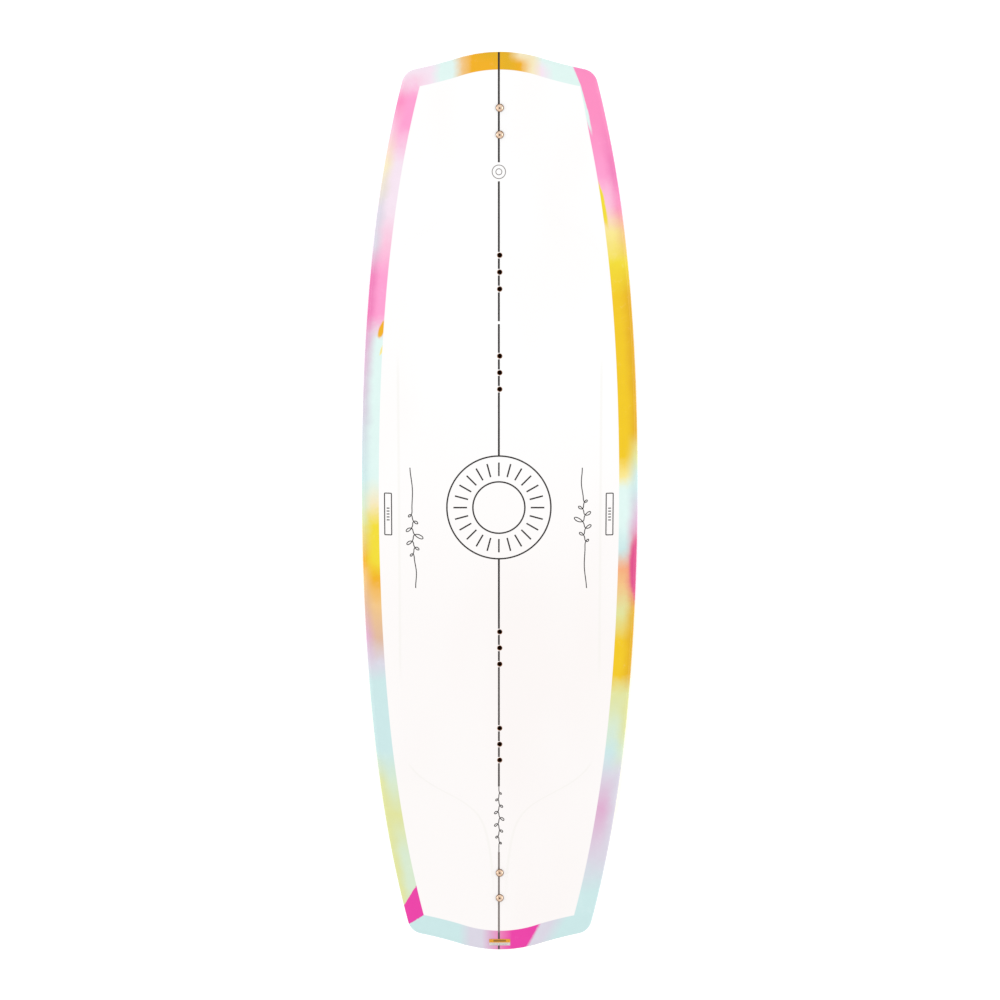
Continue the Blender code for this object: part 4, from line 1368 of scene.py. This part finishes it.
# ---- printing -------------------------------------------------------------------------
def print_z(x, y):
    """Height of the skin under the print, over the deck and its rounded shoulder."""
    line = HALF_LENGTH - SHOULDER
    if abs(y) <= line:
        return deck_z(x, y)
    out = min(1.0, (abs(y) - line) / SHOULDER)
    rise = deck_z(x, line) - rocker(line) - EDGE_HEIGHT
    return rocker(y) + EDGE_HEIGHT + rise * math.sqrt(1.0 - out ** 2)


def draped(data):
    """Lays a flat printed mesh on the skin."""
    for vertex in data.vertices:
        vertex.co.z += print_z(vertex.co.x, vertex.co.y)
    return data


def stroke_mesh(name, paths):
    """Edges along each path of (x, y) points; a path that ends where it starts is closed."""
    spots = []
    edges = []
    for path in paths:
        closed = path[0] == path[-1]
        start = len(spots)
        kept = path[:-1] if closed else path
        spots += [(x, y, 0.0) for x, y in kept]
        edges += [(index, index + 1) for index in range(start, len(spots) - 1)]
        if closed:
            edges.append((len(spots) - 1, start))
    data = bpy.data.meshes.new(name)
    data.from_pydata(spots, edges, [])
    return data


def straight(x0, y0, x1, y1, step=0.004):
    count = max(1, math.ceil(math.hypot(x1 - x0, y1 - y0) / step))
    return [(x0 + (x1 - x0) * i / count, y0 + (y1 - y0) * i / count) for i in range(count + 1)]


def circle(x, y, radius, sides):
    points = []
    for step in range(sides):
        turn = 2 * math.pi * step / sides
        points.append((x + radius * math.cos(turn), y + radius * math.sin(turn)))
    return points + points[:1]


def centre_line():
    """The printed line down the middle, broken at the inserts and the emblems."""
    breaks = [(y, INSERT_CLEARANCE) for _, y in insert_places()]
    breaks += [(EMBLEM_Y, EMBLEM_RADIUS), (SMALL_EMBLEM_Y, SMALL_EMBLEM_CLEARANCE),
               (STANCE_OFFSET, STANCE_CLEARANCE), (TAIL_SCRIPT_Y, TAIL_SCRIPT_LENGTH / 2)]
    ends = HALF_LENGTH - SHOULDER
    rim = HALF_LENGTH - 0.0006
    paths = [straight(LINE_X, -rim, LINE_X, -ends, 0.0008)]
    low = -ends
    for y, clearance in sorted(breaks):
        paths.append(straight(LINE_X, low, LINE_X, y - clearance))
        low = y + clearance
    paths.append(straight(LINE_X, low, LINE_X, ends))
    paths.append(straight(LINE_X, ends, LINE_X, rim, 0.0008))
    return paths


def flourish(start, end, lead, trail, bow, swings):
    """An abstract pen line from start to end: a tail, loops to either side, another tail.

    lead and trail are the tails' shares of the length, bow their sideways bend, and
    swings how far each loop reaches to the side.
    """
    along = Vector(end) - Vector(start)
    length = along.length
    along.normalize()
    aside = Vector((-along.y, along.x))
    points = []

    def put(forward, side):
        spot = Vector(start) + forward * along + side * aside
        points.append((spot.x, spot.y))

    for step in range(16):
        share = step / 16
        put(lead * length * share, bow * math.sin(math.pi * share) ** 2)
    pitch = length * (1.0 - lead - trail) / len(swings)
    for loop, swing in enumerate(swings):
        for step in range(20):
            turn = 2 * math.pi * step / 20
            side = swing * (1.0 - math.cos(turn)) / 2
            forward = lead * length + pitch * (loop + step / 20)
            forward += (0.30 * pitch + 0.14 * abs(swing)) * math.sin(turn) + 0.45 * abs(side)
            put(forward, side)
    for step in range(17):
        share = step / 16
        put(length * (1.0 - trail * (1.0 - share)), bow * math.sin(math.pi * share) ** 2)
    return points


def printed(name, paths, width, ink):
    """Strokes of ink along flat paths, laid on the skin."""
    data = drawn_by(STROKES, name, stroke_mesh(name + "_paths", paths),
                    {"Width": width, "Thickness": INK_THICKNESS, "Finish": ink})
    return ride_and_replace(add_object(name, draped(data)), "top_sheet")


def size_boxes():
    """Two small boxes beside the middle, each with plain ticks where a size would stand."""
    paths = []
    for x in SIZE_BOX_X:
        box = rounded_outline(x, SIZE_BOX_Y, *SIZE_BOX_HALF, SIZE_BOX_CORNER, 5)
        paths.append(box + box[:1])
        for step in range(TICK_COUNT):
            y = SIZE_BOX_Y + TICK_PITCH * (step - TICK_COUNT // 2)
            paths.append(straight(x - TICK_REACH, y, x + TICK_REACH, y, 0.002))
    return paths


def emblem_rays(ink):
    seed = stroke_mesh("ray_seed", [straight(0.0, 0.0, 0.0, 0.001)])
    rays = drawn_by(RAYS, "emblem_rays", seed, {
        "Rays": EMBLEM_RAYS, "Inner Radius": EMBLEM_INNER_RADIUS + RAY_START,
        "Outer Radius": EMBLEM_RADIUS - RAY_END, "Width": EMBLEM_WIDTH,
        "Thickness": INK_THICKNESS, "Middle": (LINE_X, EMBLEM_Y, 0.0), "Finish": ink})
    return ride_and_replace(add_object("emblem_rays", draped(rays)), "top_sheet")


def make_printing(dark, grey):
    """All the ink on the deck: plain figures and lines in place of marks and writing."""
    printed("centre_line", centre_line(), CENTRE_LINE_WIDTH, dark)
    rings = [circle(LINE_X, EMBLEM_Y, EMBLEM_RADIUS, 160),
             circle(LINE_X, EMBLEM_Y, EMBLEM_INNER_RADIUS, 96)]
    printed("emblem_rings", rings, EMBLEM_WIDTH, dark)
    emblem_rays(dark)
    small = [circle(LINE_X, SMALL_EMBLEM_Y, SMALL_EMBLEM_RADIUS, 48),
             circle(LINE_X, SMALL_EMBLEM_Y, 0.45 * SMALL_EMBLEM_RADIUS, 32)]
    printed("small_emblem", small, SMALL_EMBLEM_WIDTH, grey)
    scripts = []
    for start, end in SIDE_SCRIPTS:
        scripts.append(flourish(start, end, 0.36, 0.26, 0.0022, SIDE_SWINGS))
    printed("side_flourishes", scripts, SCRIPT_WIDTH, dark)
    half = TAIL_SCRIPT_LENGTH / 2
    tail = flourish((LINE_X, TAIL_SCRIPT_Y + half), (LINE_X, TAIL_SCRIPT_Y - half),
                    0.05, 0.10, 0.0, TAIL_SWINGS)
    printed("tail_flourish", [tail], SCRIPT_WIDTH, grey)
    printed("size_boxes", size_boxes(), SIZE_BOX_WIDTH, dark)


# ---- floor, light and camera ----------------------------------------------------------
def make_floor():
    """A pale floor with a slight glow, just under the fins."""
    finish = Finish("pale_floor", Roughness=0.9, Emission_Strength=FLOOR_GLOW,
                    Emission_Color=WHITE)
    mottle = finish.noise(3.0, 3.0)
    finish.feed("Base Color", finish.mix(FLOOR_DARK, FLOOR_LIGHT, mottle))
    mesh = bmesh.new()
    bmesh.ops.create_grid(mesh, x_segments=4, y_segments=4, size=FLOOR_HALF)
    floor = add_object("pale_floor", finished_mesh(mesh, "pale_floor"), finish.material)
    floor.data.transform(Matrix.Translation((0.0, 0.0, -FLOOR_DROP)))


def make_light():
    """An even white surround and a long soft lamp on either side."""
    world = bpy.data.worlds.new("soft_studio")
    world.use_nodes = True
    background = world.node_tree.nodes["Background"]
    background.inputs["Color"].default_value = WHITE
    background.inputs["Strength"].default_value = WORLD_STRENGTH
    bpy.context.scene.world = world
    for name, side in (("soft_left", -1.0), ("soft_right", 1.0)):
        lamp = bpy.data.lights.new(name, "AREA")
        lamp.shape = "RECTANGLE"
        lamp.size, lamp.size_y = LAMP_SIZE
        lamp.energy = LAMP_ENERGY
        holder = add_object(name, lamp)
        holder.location = (side * LAMP_SIDE, 0.0, LAMP_HEIGHT)
        holder.rotation_euler = (0.0, side * math.atan2(LAMP_SIDE, LAMP_HEIGHT), 0.0)


def make_camera():
    """The camera above the deck and a little towards the tip, aimed at the middle."""
    tilt = math.radians(CAMERA_TILT)
    data = bpy.data.cameras.new("camera")
    data.sensor_width = SENSOR_WIDTH
    data.lens = data.sensor_width * CAMERA_FOCAL
    data.shift_x = CAMERA_SHIFT_X
    data.shift_y = CAMERA_SHIFT_Y
    data.clip_end = 50.0
    camera = add_object("camera", data)
    camera.location = (0.0, CAMERA_DISTANCE * math.sin(tilt), CAMERA_DISTANCE * math.cos(tilt))
    camera.rotation_euler = (-tilt, 0.0, 0.0)
    bpy.context.scene.camera = camera


SEATING = seating_tree()
STROKES = stroke_tree()
RAYS = ray_tree()

make_top_sheet(make_top_print())
make_rail(make_dyed_rail())
make_base_sheet(make_dyed_base())
make_laminates(make_glass_cloth())
make_inserts(make_copper())
make_fin_screws(make_rose_gold())
make_fins(make_nylon())
make_label(make_foil())
make_printing(make_ink("line_ink", dye("241e1c"), dye("7d7470")),
              make_ink("grey_ink", dye("7b7472"), dye("3a3432")))

KEPT = {
    "foam": make_foam(),
    "wood": make_stringer_wood(),
    "block": make_pressed_block(),
    "brass": make_turned_brass(),
}
for part in frame["record"]["subparts"]:
    node = frame["nodes"][part["node"]]
    if part["material_slot"] in KEPT and not node.hide_render:
        node.data.materials[0] = KEPT[part["material_slot"]]

make_floor()
make_light()
make_camera()
bpy.context.scene.view_settings.view_transform = "Standard"
